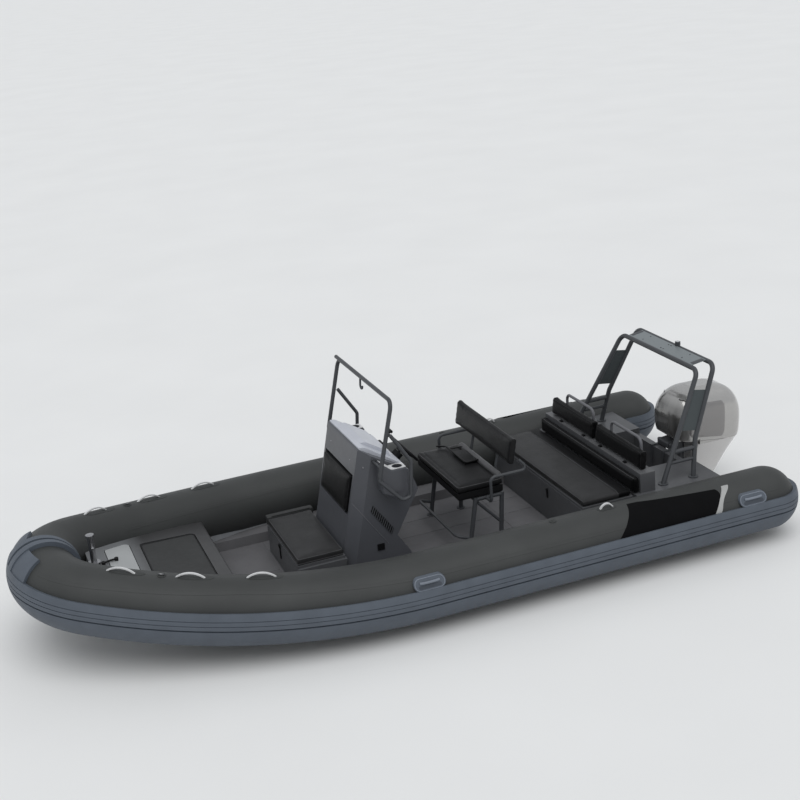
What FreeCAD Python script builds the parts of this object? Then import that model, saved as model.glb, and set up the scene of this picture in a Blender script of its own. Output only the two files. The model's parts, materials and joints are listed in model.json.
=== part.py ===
import FreeCAD, Part
import math
import os

V = FreeCAD.Vector

# Rigid inflatable boat with a centre console, afloat.
# Frame: +X to the bow, +Y to port, +Z up. The origin is amidships on the centreline, on the waterline.
# Lengths are in millimetres and angles in degrees.

# Driving sizes of the boat
TUBE_RADIUS = 250.0
TUBE_SPACING = 1120.0        # centreline to the tube's axis, along the straight part
TUBE_AXIS_Z = 340.0
STERN_DOME_X = -2865.0       # centre of the tube's domed stern end
BOW_CURVE_START_X = 190.0
BOW_CURVE_REACH = 1306.0     # tangent length of the first bow arc
BOW_X = 2900.0               # tube axis at the bow, on the centreline
BOW_AXIS_Z = 639.0
SEAT_GAP = 0.3               # glue line between the tubes and what they lie on

# Hull
TRANSOM_X = -2600.0
TRANSOM_THICKNESS = 60.0
TRANSOM_TOP_Z = 450.0
KEEL_Z = -230.0
KEEL_RISE_START_X = 600.0
STEM_X = 2600.0
STEM_TOP_Z = 360.0
HULL_INSET = 170.0           # tube axis to the hull's outer edge
CHINE_DROP = 280.0           # tube axis to the chine's outer edge
CHINE_FLAT = 80.0
CHINE_TURN = 12.0
HULL_TOP_Z = 100.0
GUNWALE_WALL = 35.0
GUNWALE_DROP = 90.0
KEEL_FLAT = 12.0             # half width of the keel's flat

# Cockpit
SOLE_Z = 130.0
LEDGE_Z = 215.0
BENCH_SIDE_GAP = 15.0        # between the bench and the tubes' inner sides
BENCH_HALF_WIDTH = TUBE_SPACING - TUBE_RADIUS - BENCH_SIDE_GAP
LEDGE_WIDTH = 155.0
LEDGE_HALF_WIDTH = BENCH_HALF_WIDTH - LEDGE_WIDTH
PANEL_WALL = 12.0            # wall of the moulded boxes
LID_THICKNESS = 22.0
LID_GAP = 6.0
LID_CORNER = 32.0

# Rubbing strake
STRAKE_THICKNESS = 34.0
STRAKE_TOP_ANGLE = 18.0
STRAKE_GROOVE_ANGLE = -10.5
STRAKE_BOTTOM_ANGLE = -50.0
STRAKE_GROOVE_WIDTH = 14.0
STRAKE_GROOVE_DEPTH = 14.0
STRAKE_RETURN_X = -2700.0    # where the strake stops on the inner side of the stern end

# Bow guard
GUARD_THICKNESS = 26.0
GUARD_HALF_WIDTH = 230.0
SADDLE_HALF_WIDTH = 70.0
SADDLE_THICKNESS = 36.0
SADDLE_GROOVE_HALF = 14.0
SADDLE_GROOVE_DEPTH = 16.0

# Bow locker
LOCKER_AFT_X = 1530.0
LOCKER_AFT_Z = 455.0
LOCKER_SLOPE = 9.4
LOCKER_FWD_X = 2560.0
LOCKER_WELL_DEPTH = 12.0
LOCKER_LID_AFT_X = 1652.0
LOCKER_LID_FWD_X = 2118.0
LOCKER_LID_AFT_HALF = 450.0
LOCKER_LID_FWD_HALF = 305.0
ANCHOR_LID_AFT_X = 2206.0
ANCHOR_LID_FWD_X = 2408.0
ANCHOR_LID_AFT_HALF = 340.0
ANCHOR_LID_FWD_HALF = 236.0
POST_X = 2520.0
POST_RADIUS = 24.0
POST_TOP_Z = 856.0
POST_PIN_Z = 773.0
POST_PIN_RADIUS = 9.0
POST_PIN_LENGTH = 130.0

# Tow eyes
EYE_HOLE = 12.0
EYE_PLATE = 7.0
EYE_BOW_X = 2420.0
EYE_BOW_Z = 190.0
EYE_STERN_X = TRANSOM_X - 26.0
EYE_STERN_Y = 520.0
EYE_STERN_Z = 260.0

# Front seat
SEAT_FWD_X = 1025.0
SEAT_AFT_X = 620.0
SEAT_HALF_WIDTH = 450.0
SEAT_BOX_MARGIN = 20.0
SEAT_TOP_Z = 452.0
SEAT_CUSHION = 58.0

# Console
CONSOLE_HALF_WIDTH = 450.0
CONSOLE_FRONT_TOP_X = 407.0
CONSOLE_FRONT_TOP_Z = 1235.0
CONSOLE_FRONT_SLOPE = 0.237
CONSOLE_FRONT_HALF = 375.0
CONSOLE_CHAMFER = 95.0
CONSOLE_AFT_TOP_X = 15.0
CONSOLE_AFT_TOP_Z = 1000.0
CONSOLE_KNEE_X = -46.0
CONSOLE_KNEE_Z = 826.0
CONSOLE_WAIST_X = 165.0
CONSOLE_WAIST_Z = 460.0
CONSOLE_FOOT_X = 60.0
CONSOLE_FOOT_Z = 290.0
BACKREST_BOTTOM_Z = 690.0
BACKREST_TOP_Z = 1010.0
BACKREST_HALF_WIDTH = 338.0
BACKREST_INSET = 45.0
BACKREST_PROUD = 14.0
POD_OUTER_Y = 562.0
POD_TOP_Z = 1078.0
POD_BOTTOM_Z = 800.0
POD_FWD_X = 290.0
POD_AFT_X = 71.0
CUP_RADIUS = 43.0
CUP_DEPTH = 95.0
CUP_X = 137.0
DASH_THICKNESS = 12.0
HUMP_HEIGHT = 22.0
HUMP_HALF_WIDTH = 260.0

# Windscreen hoop
HOOP_TUBE = 17.0
HOOP_HALF_WIDTH = 640.0
HOOP_TOP_Z = 1672.0
HOOP_TOP_X = 180.0
HOOP_FOOT_X = 330.0
HOOP_FOOT_Z = 1075.0
HOOP_BEND = 70.0

# Wheel
WHEEL_X = -105.0
WHEEL_Z = 1012.0
WHEEL_RADIUS = 170.0
WHEEL_RIM = 13.0
WHEEL_RAKE = 40.0            # the wheel's plane from the vertical
WHEEL_HUB_RADIUS = 38.0
WHEEL_SHAFT_RADIUS = 11.0

# Leaning seat
HELM_FWD_X = -376.0
HELM_AFT_X = -800.0
HELM_HALF_WIDTH = 461.0
HELM_TOP_Z = 743.0
HELM_CUSHION = 60.0
HELM_PAN = 70.0
HELM_TUBE = 19.0
HELM_LEG_Y = 425.0
HELM_FRONT_FOOT_X = -463.0
HELM_FRONT_TOP_X = -551.0
HELM_REAR_FOOT_X = -753.0
HELM_REAR_TOP_X = -788.0
HELM_BACK_TOP_Z = 1109.0
HELM_BACK_BOTTOM_Z = 880.0
HELM_BACK_HALF = 566.0
HELM_BACK_X = -853.0
HELM_BACK_THICKNESS = 50.0
ARM_Y = 548.0
ARM_TOP_Z = 812.0
RAIL_TUBE = 13.0

# Stern bench
BENCH_FWD_X = -1310.0
BENCH_AFT_X = -1800.0
BENCH_HINGE_X = -1780.0
BENCH_TOP_Z = 548.0
BENCH_CUSHION = 55.0
ROLL_FWD_X = -1790.0
ROLL_AFT_X = -1850.0
ROLL_TOP_Z = 650.0
BENCH_LEDGE_TOP_Z = 672.0
BENCH_BACK_AFT_X = -1990.0
UPPER_CUSHION_X = -1885.0
UPPER_CUSHION_THICKNESS = 62.0
UPPER_CUSHION_TOP_Z = 840.0
UPPER_CUSHION_OUT = 806.0
UPPER_CUSHION_IN = 20.0
BACK_HOOP_X = -1982.0
BACK_HOOP_TOP_Z = 894.0
BACK_HOOP_OUT = 655.0
BACK_HOOP_IN = 160.0
BACK_HOOP_TUBE = 13.0

# Stern decks and engine well
STERN_DECK_Z = 500.0
WELL_HALF_WIDTH = 420.0
WELL_SOLE_Z = 180.0

# Roll arch
ARCH_TUBE = 21.0
ARCH_TOP_Z = 1372.0
ARCH_REAR_RISE = 24.0        # rear bar above the front bar
ARCH_FRONT_TOP_X = -2560.0
ARCH_TOP_DEPTH = 162.0
ARCH_TOP_HALF = 622.0
ARCH_FOOT_HALF = 785.0
ARCH_FRONT_FOOT_X = -2108.0
ARCH_REAR_FOOT_X = -2402.0
ARCH_KNEE_Z = 815.0
ARCH_KNEE_X = -2462.0
ARCH_TOP_PLATE_HALF = 520.0
ARCH_BEND = 85.0
ARCH_PLATE = 6.0
NAV_LIGHT_RADIUS = 24.0
NAV_LIGHT_Y = 60.0

# Outboard engine
TILT_X = TRANSOM_X - 22.0
TILT_Z = TRANSOM_TOP_Z + 36.0
STEER_SETBACK = 138.0        # tilt shaft to the steering shaft
STEER_X = TILT_X - STEER_SETBACK
SWIVEL_HALF = 78.0
CLAMP_INNER = 84.0
CLAMP_THICKNESS = 24.0
COWL_BOTTOM_Z = TILT_Z + 66.0
COWL_SKIRT_DROP = 50.0       # cowl's lower edge behind the steering column, below its front edge
STEER_COLUMN_RADIUS = 44.0
COLUMN_GAP = 14.0
YOKE_Z = 60.0
STEER_SHAFT_RADIUS = 26.0
TILT_SHAFT_RADIUS = 15.0
RUNNING_GAP = 0.05           # radial clearance of a shaft in its bore
PLATE_Z = -205.0
PLATE_THICKNESS = 14.0
PROP_Z = -425.0
PROP_HUB_LENGTH = 120.0
PROP_HUB_RADIUS = 45.0
PROP_SHAFT_RADIUS = 12.0
PROP_RADIUS = 188.0
GEARCASE_FWD_X = STEER_X - 40.0
GEARCASE_AFT_X = GEARCASE_FWD_X - 230.0
PROP_FWD_X = GEARCASE_AFT_X - 6.0
GEARCASE_RADIUS = 58.0
SKEG_DEPTH = 215.0

# Cowl's plan outlines: rise above its skirt, reach fore and aft of the steering shaft, half width, corner radii
COWL_OUTLINES = (
    (0.0, 100.0, 512.0, 222.0, 120.0, 95.0),
    (60.0, 143.0, 524.0, 230.0, 130.0, 100.0),
    (150.0, 170.0, 531.0, 238.0, 150.0, 110.0),
    (260.0, 168.0, 527.0, 240.0, 155.0, 115.0),
    (350.0, 140.0, 503.0, 229.0, 150.0, 115.0),
    (420.0, 88.0, 462.0, 199.0, 130.0, 105.0),
    (470.0, 4.0, 395.0, 146.0, 90.0, 80.0),
    (495.0, -95.0, 318.0, 78.0, 50.0, 50.0),
)

# Tilt ram
RAM_BASE_X = TILT_X - 18.0
RAM_BASE_Z = TILT_Z - 311.0
RAM_EYE_X = TILT_X - 48.0
RAM_EYE_Z = TILT_Z - 28.0
RAM_PIN_RADIUS = 8.0
RAM_EYE_PIN_RADIUS = 6.0
RAM_EYE_PLAY = 6.0           # room for the eye's drift on its pin over the tilt range
RAM_BARREL_RADIUS = 24.0
RAM_BARREL_LENGTH = 200.0
RAM_ROD_RADIUS = 10.0
RAM_SLOT_HALF = 17.0


def box(x0, x1, y0, y1, z0, z1):
    return Part.makeBox(x1 - x0, y1 - y0, z1 - z0, V(x0, y0, z0))


def mirrored(shape):
    return shape.mirror(V(0, 0, 0), V(0, 1, 0))


def both_sides(shape):
    return Part.makeCompound([shape, mirrored(shape)])


def fused(shapes):
    whole = shapes[0]
    for shape in shapes[1:]:
        whole = whole.fuse(shape)
    return whole.removeSplitter()


def rounded_wire(corners, closed=True):
    """Wire of lines and tangent arcs through corners of (point, radius)."""
    count = len(corners)
    starts, ends, arcs = [], [], []
    for i, (point, radius) in enumerate(corners):
        if radius <= 0 or (not closed and i in (0, count - 1)):
            starts.append(point)
            ends.append(point)
            arcs.append(None)
            continue
        before = (corners[i - 1][0] - point).normalize()
        after = (corners[(i + 1) % count][0] - point).normalize()
        half = before.getAngle(after) / 2
        reach = radius / math.tan(half)
        middle = (before + after).normalize()
        crown = point + middle * (radius / math.sin(half) - radius)
        starts.append(point + before * reach)
        ends.append(point + after * reach)
        arcs.append(Part.Arc(starts[-1], crown, ends[-1]).toShape())
    edges = []
    for i in range(count):
        if arcs[i] is not None:
            edges.append(arcs[i])
        following = (i + 1) % count
        if following == 0 and not closed:
            break
        if ends[i].distanceToPoint(starts[following]) > 1e-6:
            edges.append(Part.LineSegment(ends[i], starts[following]).toShape())
    return Part.Wire(edges)


def side_profile(points, y0, y1):
    """Solid of (x, z) or (x, z, radius) corners, extruded from y0 to y1."""
    corners = [(V(p[0], y0, p[1]), p[2] if len(p) > 2 else 0) for p in points]
    return Part.Face(rounded_wire(corners)).extrude(V(0, y1 - y0, 0))


def plan_profile(points, z0, z1):
    """Solid of (x, y) or (x, y, radius) corners, extruded from z0 to z1."""
    corners = [(V(p[0], p[1], z0), p[2] if len(p) > 2 else 0) for p in points]
    return Part.Face(rounded_wire(corners)).extrude(V(0, 0, z1 - z0))


def front_profile(points, x0, x1):
    """Solid of (y, z) or (y, z, radius) corners, extruded from x0 to x1."""
    corners = [(V(x0, p[0], p[1]), p[2] if len(p) > 2 else 0) for p in points]
    return Part.Face(rounded_wire(corners)).extrude(V(x1 - x0, 0, 0))


def bent_tube(points, radius, bend):
    """Round tube, solid inside, along points with one bend radius or one for each point."""
    bends = bend if isinstance(bend, (list, tuple)) else [bend] * len(points)
    path = rounded_wire([(V(*p), b) for p, b in zip(points, bends)], closed=False)
    start = V(*points[0])
    heading = V(*points[1]) - start
    section = Part.Wire([Part.Circle(start, heading, radius).toShape()])
    return path.makePipeShell([section], True, False)


def end_to_end(pieces):
    """One solid of pieces that meet face to face, without the faces between them."""
    faces = []
    for piece in pieces:
        faces += piece.Faces
    outer = []
    for face in faces:
        centre = face.CenterOfMass
        shared = [f for f in faces if f.CenterOfMass.distanceToPoint(centre) < 0.01]
        if len(shared) == 1:
            outer.append(face)
    shell = Part.Shell(outer)
    shell.sewShape()
    solid = Part.Solid(shell)
    if solid.Volume < 0:
        solid.reverse()
    return solid


class TubePath:
    """Axis of the port tube: a straight run and two tangent arcs up to the bow."""

    def __init__(self):
        start = V(BOW_CURVE_START_X, TUBE_SPACING, TUBE_AXIS_Z)
        end = V(BOW_X, 0, BOW_AXIS_Z)
        span = end - start
        first = BOW_CURVE_REACH
        second = (span.dot(span) - 2 * span.x * first) / (2 * (first + TUBE_SPACING))
        near = start + V(first, 0, 0)
        far = end + V(0, second, 0)
        joint = (near * second + far * first) * (1 / (first + second))
        self.start, self.joint, self.end = start, joint, end
        self.arcs = [self.arc(start, V(1, 0, 0), joint), self.arc(joint, (far - near).normalize(), end)]

    @staticmethod
    def arc(start, heading, end):
        chord = end - start
        half = heading.getAngle(chord)
        inward = chord - heading * chord.dot(heading)
        inward.normalize()
        radius = chord.Length / (2 * math.sin(half))
        return dict(start=start, heading=heading, inward=inward, radius=radius, angle=2 * half,
                    centre=start + inward * radius, axis=heading.cross(inward))

    def at(self, arc, turn):
        """Point and heading on an arc after a turn in radians."""
        a = self.arcs[arc]
        point = a["start"] + a["heading"] * (a["radius"] * math.sin(turn))
        point = point + a["inward"] * (a["radius"] * (1 - math.cos(turn)))
        return point, a["heading"] * math.cos(turn) + a["inward"] * math.sin(turn)

    def at_x(self, x):
        """Point and heading where the axis passes x."""
        if x <= self.start.x:
            return V(x, TUBE_SPACING, TUBE_AXIS_Z), V(1, 0, 0)
        number = 0 if x <= self.joint.x else 1
        low, high = 0.0, self.arcs[number]["angle"]
        for _ in range(50):
            middle = (low + high) / 2
            if self.at(number, middle)[0].x < x:
                low = middle
            else:
                high = middle
        return self.at(number, low)

    def sweep(self, section_at_start, stern_x):
        """Solid swept by a section face that stands across the straight part at the bow curve's start."""
        face = section_at_start
        pieces = [face.extrude(V(stern_x - BOW_CURVE_START_X, 0, 0))]
        for a in self.arcs:
            turn = math.degrees(a["angle"])
            pieces.append(face.revolve(a["centre"], a["axis"], turn))
            face = face.copy()
            face.rotate(a["centre"], a["axis"], turn)
        return pieces


PATH = TubePath()


def ring_point(radius, angle, x=BOW_CURVE_START_X):
    """Point round the tube's axis: 0 degrees is outboard and 90 is up."""
    turn = math.radians(angle)
    return V(x, TUBE_SPACING + radius * math.cos(turn), TUBE_AXIS_Z + radius * math.sin(turn))


def ring_sector(inner, outer, low, high, x=BOW_CURVE_START_X):
    """Face between two radii and two angles round the tube's axis."""
    middle = (low + high) / 2
    corners = [ring_point(inner, low, x), ring_point(outer, low, x), ring_point(outer, high, x),
               ring_point(inner, high, x)]
    edges = [Part.LineSegment(corners[0], corners[1]).toShape(),
             Part.Arc(corners[1], ring_point(outer, middle, x), corners[2]).toShape(),
             Part.LineSegment(corners[2], corners[3]).toShape(),
             Part.Arc(corners[3], ring_point(inner, middle, x), corners[0]).toShape()]
    return Part.Face(Part.Wire(edges))


def tube_solid(radius):
    circle = Part.Circle(PATH.start, V(1, 0, 0), radius).toShape()
    section = Part.Face(Part.Wire([circle]))
    pieces = PATH.sweep(section, STERN_DOME_X)
    dome = Part.makeSphere(radius, V(STERN_DOME_X, TUBE_SPACING, TUBE_AXIS_Z))
    dome = dome.common(box(STERN_DOME_X - 2 * radius, STERN_DOME_X, 0, 2 * TUBE_SPACING, -1000, 1000))
    return fused(pieces + [dome])


def make_tubes():
    port = tube_solid(TUBE_RADIUS)
    return {"tube_port": port, "tube_starboard": mirrored(port)}


def strake_section(x):
    """Wide two-band strake section with its groove and the ridges of the upper band."""
    inner = TUBE_RADIUS + SEAT_GAP
    outer = TUBE_RADIUS + STRAKE_THICKNESS
    face = ring_sector(inner, outer, STRAKE_BOTTOM_ANGLE, STRAKE_TOP_ANGLE, x)
    half = math.degrees(STRAKE_GROOVE_WIDTH / 2 / outer)
    groove = ring_sector(outer - STRAKE_GROOVE_DEPTH, outer + 5, STRAKE_GROOVE_ANGLE - half,
                         STRAKE_GROOVE_ANGLE + half, x)
    face = face.cut(groove)
    ridge_half = 0.55
    for angle in (-2.0, 5.5):
        face = face.cut(ring_sector(outer - 5, outer + 5, angle - ridge_half, angle + ridge_half, x))
    return face.Faces[0]


def make_strakes():
    section = strake_section(BOW_CURVE_START_X)
    pieces = PATH.sweep(section, STERN_DOME_X)
    dome_section = section.copy()
    dome_section.translate(V(STERN_DOME_X - BOW_CURVE_START_X, 0, 0))
    centre = V(STERN_DOME_X, TUBE_SPACING, 0)
    pieces.append(dome_section.revolve(centre, V(0, 0, 1), 180))
    inner_section = dome_section.copy()
    inner_section.rotate(centre, V(0, 0, 1), 180)
    pieces.append(inner_section.extrude(V(STRAKE_RETURN_X - STERN_DOME_X, 0, 0)))
    port = end_to_end(pieces)
    return {"strake_port": port, "strake_starboard": mirrored(port)}


def bow_section_sector(inner, outer, low, high):
    """Ring sector standing across the tube at the bow, on the centreline."""
    face = ring_sector(inner, outer, low, high)
    for a in PATH.arcs:
        face.rotate(a["centre"], a["axis"], math.degrees(a["angle"]))
    return face


def make_bow_guard():
    last = PATH.arcs[-1]
    reach = math.degrees(GUARD_HALF_WIDTH / last["radius"])
    inner = TUBE_RADIUS + SEAT_GAP
    cap = bow_section_sector(inner, TUBE_RADIUS + GUARD_THICKNESS, STRAKE_TOP_ANGLE + 0.2, 62)
    cap = cap.revolve(last["centre"], last["axis"], -reach)
    saddle_turn = math.degrees(SADDLE_HALF_WIDTH / last["radius"])
    saddle_face = bow_section_sector(inner, TUBE_RADIUS + SADDLE_THICKNESS, STRAKE_TOP_ANGLE + 0.2, 196)
    saddle = saddle_face.revolve(last["centre"], last["axis"], -saddle_turn)
    groove_turn = math.degrees(SADDLE_GROOVE_HALF / last["radius"])
    groove_face = bow_section_sector(TUBE_RADIUS + SADDLE_THICKNESS - SADDLE_GROOVE_DEPTH,
                                     TUBE_RADIUS + SADDLE_THICKNESS + 20, STRAKE_TOP_ANGLE - 1, 198)
    groove = groove_face.revolve(last["centre"], last["axis"], -groove_turn)
    half = fused([cap, saddle]).cut(groove)
    return {"bow_guard": fused([half, mirrored(half)])}


TUBE_CUTTER = tube_solid(TUBE_RADIUS + SEAT_GAP)
BOTH_CUTTERS = [TUBE_CUTTER, mirrored(TUBE_CUTTER)]
FITTING_CUTTER = tube_solid(TUBE_RADIUS + 2 * SEAT_GAP)


def clear_of_tubes(shape):
    for cutter in BOTH_CUTTERS:
        shape = shape.cut(cutter)
    return shape


def keel_height(x):
    if x <= KEEL_RISE_START_X:
        return KEEL_Z
    share = (x - KEEL_RISE_START_X) / (STEM_X - KEEL_RISE_START_X)
    return KEEL_Z + (STEM_TOP_Z - KEEL_Z) * share ** 2.2


def hull_station(x):
    """Half breadth and heights of one hull station: edge half width, edge z, sheer z."""
    axis, heading = PATH.at_x(x)
    half_width = max(axis.y - HULL_INSET, KEEL_FLAT + 40)
    chine_z = axis.z - CHINE_DROP
    return half_width, chine_z, axis.z - GUNWALE_DROP


def hull_wire(x):
    half, chine_z, top_z = hull_station(x)
    keel_z = min(keel_height(x), chine_z - 20)
    flat = min(CHINE_FLAT, half * 0.25)
    port = [(KEEL_FLAT, keel_z), (half - flat, chine_z + CHINE_TURN), (half, chine_z), (half, top_z)]
    points = [V(x, y, z) for y, z in port]
    points += [V(x, -y, z) for y, z in reversed(port)]
    return Part.makePolygon(points + [points[0]])


def make_hull():
    stations = [TRANSOM_X, KEEL_RISE_START_X, 1000, 1400, 1750, 2050, 2300, 2480, STEM_X]
    body = Part.makeLoft([hull_wire(x) for x in stations], True, True)
    body = clear_of_tubes(body)
    body = body.cut(plan_profile(tub_plan(TRANSOM_X - 1, 0), HULL_TOP_Z, 600))
    for share in (0.36, 0.66):
        rail = spray_rail(share)
        body = body.fuse(rail).fuse(mirrored(rail))
    return {"hull": body.removeSplitter()}


def tub_plan(aft_x, gap):
    """Plan of the space inside the hull's gunwale walls, from an aft x to under the bow locker."""
    stations = (aft_x, BOW_CURVE_START_X, 700, 1150, LOCKER_AFT_X + 300)
    port = [(x, hull_station(x)[0] - GUNWALE_WALL - gap) for x in stations]
    return port + [(x, -y) for x, y in reversed(port)]


def spray_rail(share):
    """Triangular lifting rail on the hull's bottom, at a share of the bottom's half width."""
    wires = []
    for x in (TRANSOM_X, KEEL_RISE_START_X, KEEL_RISE_START_X + 800):
        half, chine_z, _ = hull_station(x)
        keel_z = keel_height(x)
        top_half = half - CHINE_FLAT
        slope = (chine_z + CHINE_TURN - keel_z) / (top_half - KEEL_FLAT)
        y_out = KEEL_FLAT + (top_half - KEEL_FLAT) * share
        y_in = y_out - 60
        z_out = keel_z + slope * (y_out - KEEL_FLAT)
        z_in = keel_z + slope * (y_in - KEEL_FLAT)
        points = [V(x, y_in, z_in + 2), V(x, y_out, z_in - 4), V(x, y_out + 4, z_out + 2)]
        wires.append(Part.makePolygon(points + [points[0]]))
    return Part.makeLoft(wires, True, True)


def make_deck():
    half = hull_station(0)[0] - GUNWALE_WALL - SEAT_GAP
    sole = front_profile([(-half, HULL_TOP_Z), (half, HULL_TOP_Z), (half, LEDGE_Z), (LEDGE_HALF_WIDTH, LEDGE_Z),
                          (LEDGE_HALF_WIDTH - 10, SOLE_Z), (-LEDGE_HALF_WIDTH + 10, SOLE_Z),
                          (-LEDGE_HALF_WIDTH, LEDGE_Z), (-half, LEDGE_Z)],
                         BENCH_BACK_AFT_X, LOCKER_AFT_X + 280)
    deck = sole.common(plan_profile(tub_plan(BENCH_BACK_AFT_X, 1), HULL_TOP_Z, LEDGE_Z + 10))
    return {"cockpit_deck": clear_of_tubes(deck)}


def locker_top_z(x):
    return LOCKER_AFT_Z + (x - LOCKER_AFT_X) * math.tan(math.radians(LOCKER_SLOPE))


def locker_slab(points, drop_top, drop_bottom):
    """Slab under the locker's sloping top between two drops, over a plan outline."""
    low = plan_profile(points, SOLE_Z - 400, 1200)
    x0, x1 = LOCKER_AFT_X - 200, LOCKER_FWD_X + 400
    layer = side_profile([(x0, locker_top_z(x0) - drop_bottom), (x1, locker_top_z(x1) - drop_bottom),
                          (x1, locker_top_z(x1) - drop_top), (x0, locker_top_z(x0) - drop_top)], -1200, 1200)
    return low.common(layer)


def trapezoid(aft_x, fwd_x, aft_half, fwd_half, grow=0.0, radius=0.0):
    return [(aft_x - grow, -aft_half - grow, radius), (fwd_x + grow, -fwd_half - grow, radius),
            (fwd_x + grow, fwd_half + grow, radius), (aft_x - grow, aft_half + grow, radius)]


def make_bow_locker():
    x0, x1 = LOCKER_AFT_X, LOCKER_FWD_X
    outer = side_profile([(x0, LEDGE_Z + SEAT_GAP), (x0, locker_top_z(x0), 18), (x1, locker_top_z(x1)), (x1, 470),
                          (x0 + 280, LEDGE_Z + SEAT_GAP)], -780, 780)
    plan = [(x, PATH.at_x(x)[0].y - HULL_INSET - GUNWALE_WALL - 1) for x in (1150, x0 + 300, 1980, 2150, 2350, x1)]
    outer = outer.common(plan_profile(plan + [(x, -y) for x, y in reversed(plan)], 0, 1000))
    outer = clear_of_tubes(outer)
    outer = outer.cut(hull_bow_space())
    inner_plan = [(x0 + PANEL_WALL, -560), (1800, -560), (2150, -400), (2440, -220), (2440, 220), (2150, 400),
                  (1800, 560), (x0 + PANEL_WALL, 560)]
    cavity = locker_slab(inner_plan, PANEL_WALL + LOCKER_WELL_DEPTH + 6, 500)
    cavity = cavity.common(box(x0 - 10, x1, -700, 700, LEDGE_Z + 20, 900))
    cavity = cavity.cut(box(1900, x1, -700, 700, 0, 380))
    locker = outer.cut(cavity)
    lid_args = (LOCKER_LID_AFT_X, LOCKER_LID_FWD_X, LOCKER_LID_AFT_HALF, LOCKER_LID_FWD_HALF)
    anchor_args = (ANCHOR_LID_AFT_X, ANCHOR_LID_FWD_X, ANCHOR_LID_AFT_HALF, ANCHOR_LID_FWD_HALF)
    for args in (lid_args, anchor_args):
        locker = locker.cut(locker_slab(trapezoid(*args, grow=LID_GAP, radius=LID_CORNER + LID_GAP), -10, LOCKER_WELL_DEPTH + 12))
        locker = locker.cut(locker_slab(trapezoid(*args, grow=-25, radius=15), -10, 90))
    lid = locker_slab(trapezoid(*lid_args, radius=LID_CORNER), LOCKER_WELL_DEPTH - 8, LOCKER_WELL_DEPTH + 11.5)
    anchor = locker_slab(trapezoid(*anchor_args, radius=LID_CORNER), LOCKER_WELL_DEPTH - 14, LOCKER_WELL_DEPTH + 11.5)
    return {"bow_locker": locker, "bow_locker_lid": lid, "anchor_lid": anchor}


def hull_bow_space():
    """Space taken by the hull under the bow locker."""
    stations = [1400, 1750, 2050, 2300, 2480, STEM_X]
    body = Part.makeLoft([hull_wire(x) for x in stations], True, True)
    return body.cut(box(1300, LOCKER_AFT_X + 300, -900, 900, HULL_TOP_Z, 700))


def make_tow_eyes():
    """Bow eye on the stem and two stern eyes on the transom, each a plate with a hole."""
    plates = []
    x, z = EYE_BOW_X, EYE_BOW_Z
    bow = side_profile([(x - 60, z + 60), (x - 60, z - 40), (x + 20, z - 20, 20), (x + 30, z + 20, 20)], -EYE_PLATE,
                       EYE_PLATE)
    plates.append(bow.cut(Part.makeCylinder(EYE_HOLE, 100, V(x, -50, z), V(0, 1, 0))))
    for y in (-EYE_STERN_Y, EYE_STERN_Y):
        x, z = EYE_STERN_X, EYE_STERN_Z
        eye = plan_profile([(TRANSOM_X, y - 34), (x - 26, y - 24, 22), (x - 26, y + 24, 22), (TRANSOM_X, y + 34)],
                           z - EYE_PLATE, z + EYE_PLATE)
        plates.append(eye.cut(Part.makeCylinder(EYE_HOLE, 100, V(x, y, z - 50))))
    hull = make_hull()["hull"]
    plates[0] = plates[0].cut(hull)
    return {"tow_eyes": Part.makeCompound(plates)}


def make_mooring_post():
    deck_z = locker_top_z(POST_X)
    post = Part.makeCylinder(POST_RADIUS, POST_TOP_Z - deck_z, V(POST_X, 0, deck_z))
    cap = Part.makeCylinder(POST_RADIUS + 9, 16, V(POST_X, 0, POST_TOP_Z - 8))
    flange = Part.makeCylinder(POST_RADIUS + 26, 24, V(POST_X, 0, deck_z - 8))
    pin = Part.makeCylinder(POST_PIN_RADIUS, POST_PIN_LENGTH, V(POST_X, -POST_PIN_LENGTH / 2, POST_PIN_Z),
                            V(0, 1, 0))
    whole = fused([post, cap, flange, pin])
    top = side_profile([(POST_X - 200, deck_z - 300), (POST_X + 200, deck_z - 300),
                        (POST_X + 200, locker_top_z(POST_X + 200)), (POST_X - 200, locker_top_z(POST_X - 200))],
                       -100, 100)
    return {"mooring_post": whole.cut(top)}


def hollow_box(x0, x1, half, z0, z1, wall):
    outer = box(x0, x1, -half, half, z0, z1)
    inner = box(x0 + wall, x1 - wall, -half + wall, half - wall, z0 - 1, z1 - wall)
    return outer.cut(inner)


def make_front_seat():
    lid_bottom = SEAT_TOP_Z - SEAT_CUSHION - LID_THICKNESS
    half = SEAT_HALF_WIDTH + SEAT_BOX_MARGIN
    top, front, wall = lid_bottom - SEAT_GAP, SEAT_FWD_X - 8, PANEL_WALL
    shell = side_profile([(console_front_x(SOLE_Z), SOLE_Z), (front, SOLE_Z), (front, top),
                          (console_front_x(top), top)], -half, half)
    low, high = SOLE_Z - 1, top - wall
    inside = side_profile([(console_front_x(low) + wall, low), (front - wall, low), (front - wall, high),
                           (console_front_x(high) + wall, high)], -half + wall, half - wall)
    shell = shell.cut(inside)
    opening = box(SEAT_AFT_X + 50, SEAT_FWD_X - 58, -half + 60, half - 60, lid_bottom - 40, lid_bottom + 10)
    lid = box(SEAT_AFT_X, SEAT_FWD_X - 6, -SEAT_HALF_WIDTH + 6, SEAT_HALF_WIDTH - 6, lid_bottom,
              lid_bottom + LID_THICKNESS)
    cushion = box(SEAT_AFT_X, SEAT_FWD_X, -SEAT_HALF_WIDTH, SEAT_HALF_WIDTH, lid_bottom + LID_THICKNESS,
                  SEAT_TOP_Z)
    cushion = cushion.makeFillet(14, [e for e in cushion.Edges if e.BoundBox.ZMin > SEAT_TOP_Z - 1])
    return {"front_seat_box": shell.cut(opening), "front_seat_lid": lid, "front_seat_cushion": cushion}


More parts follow.
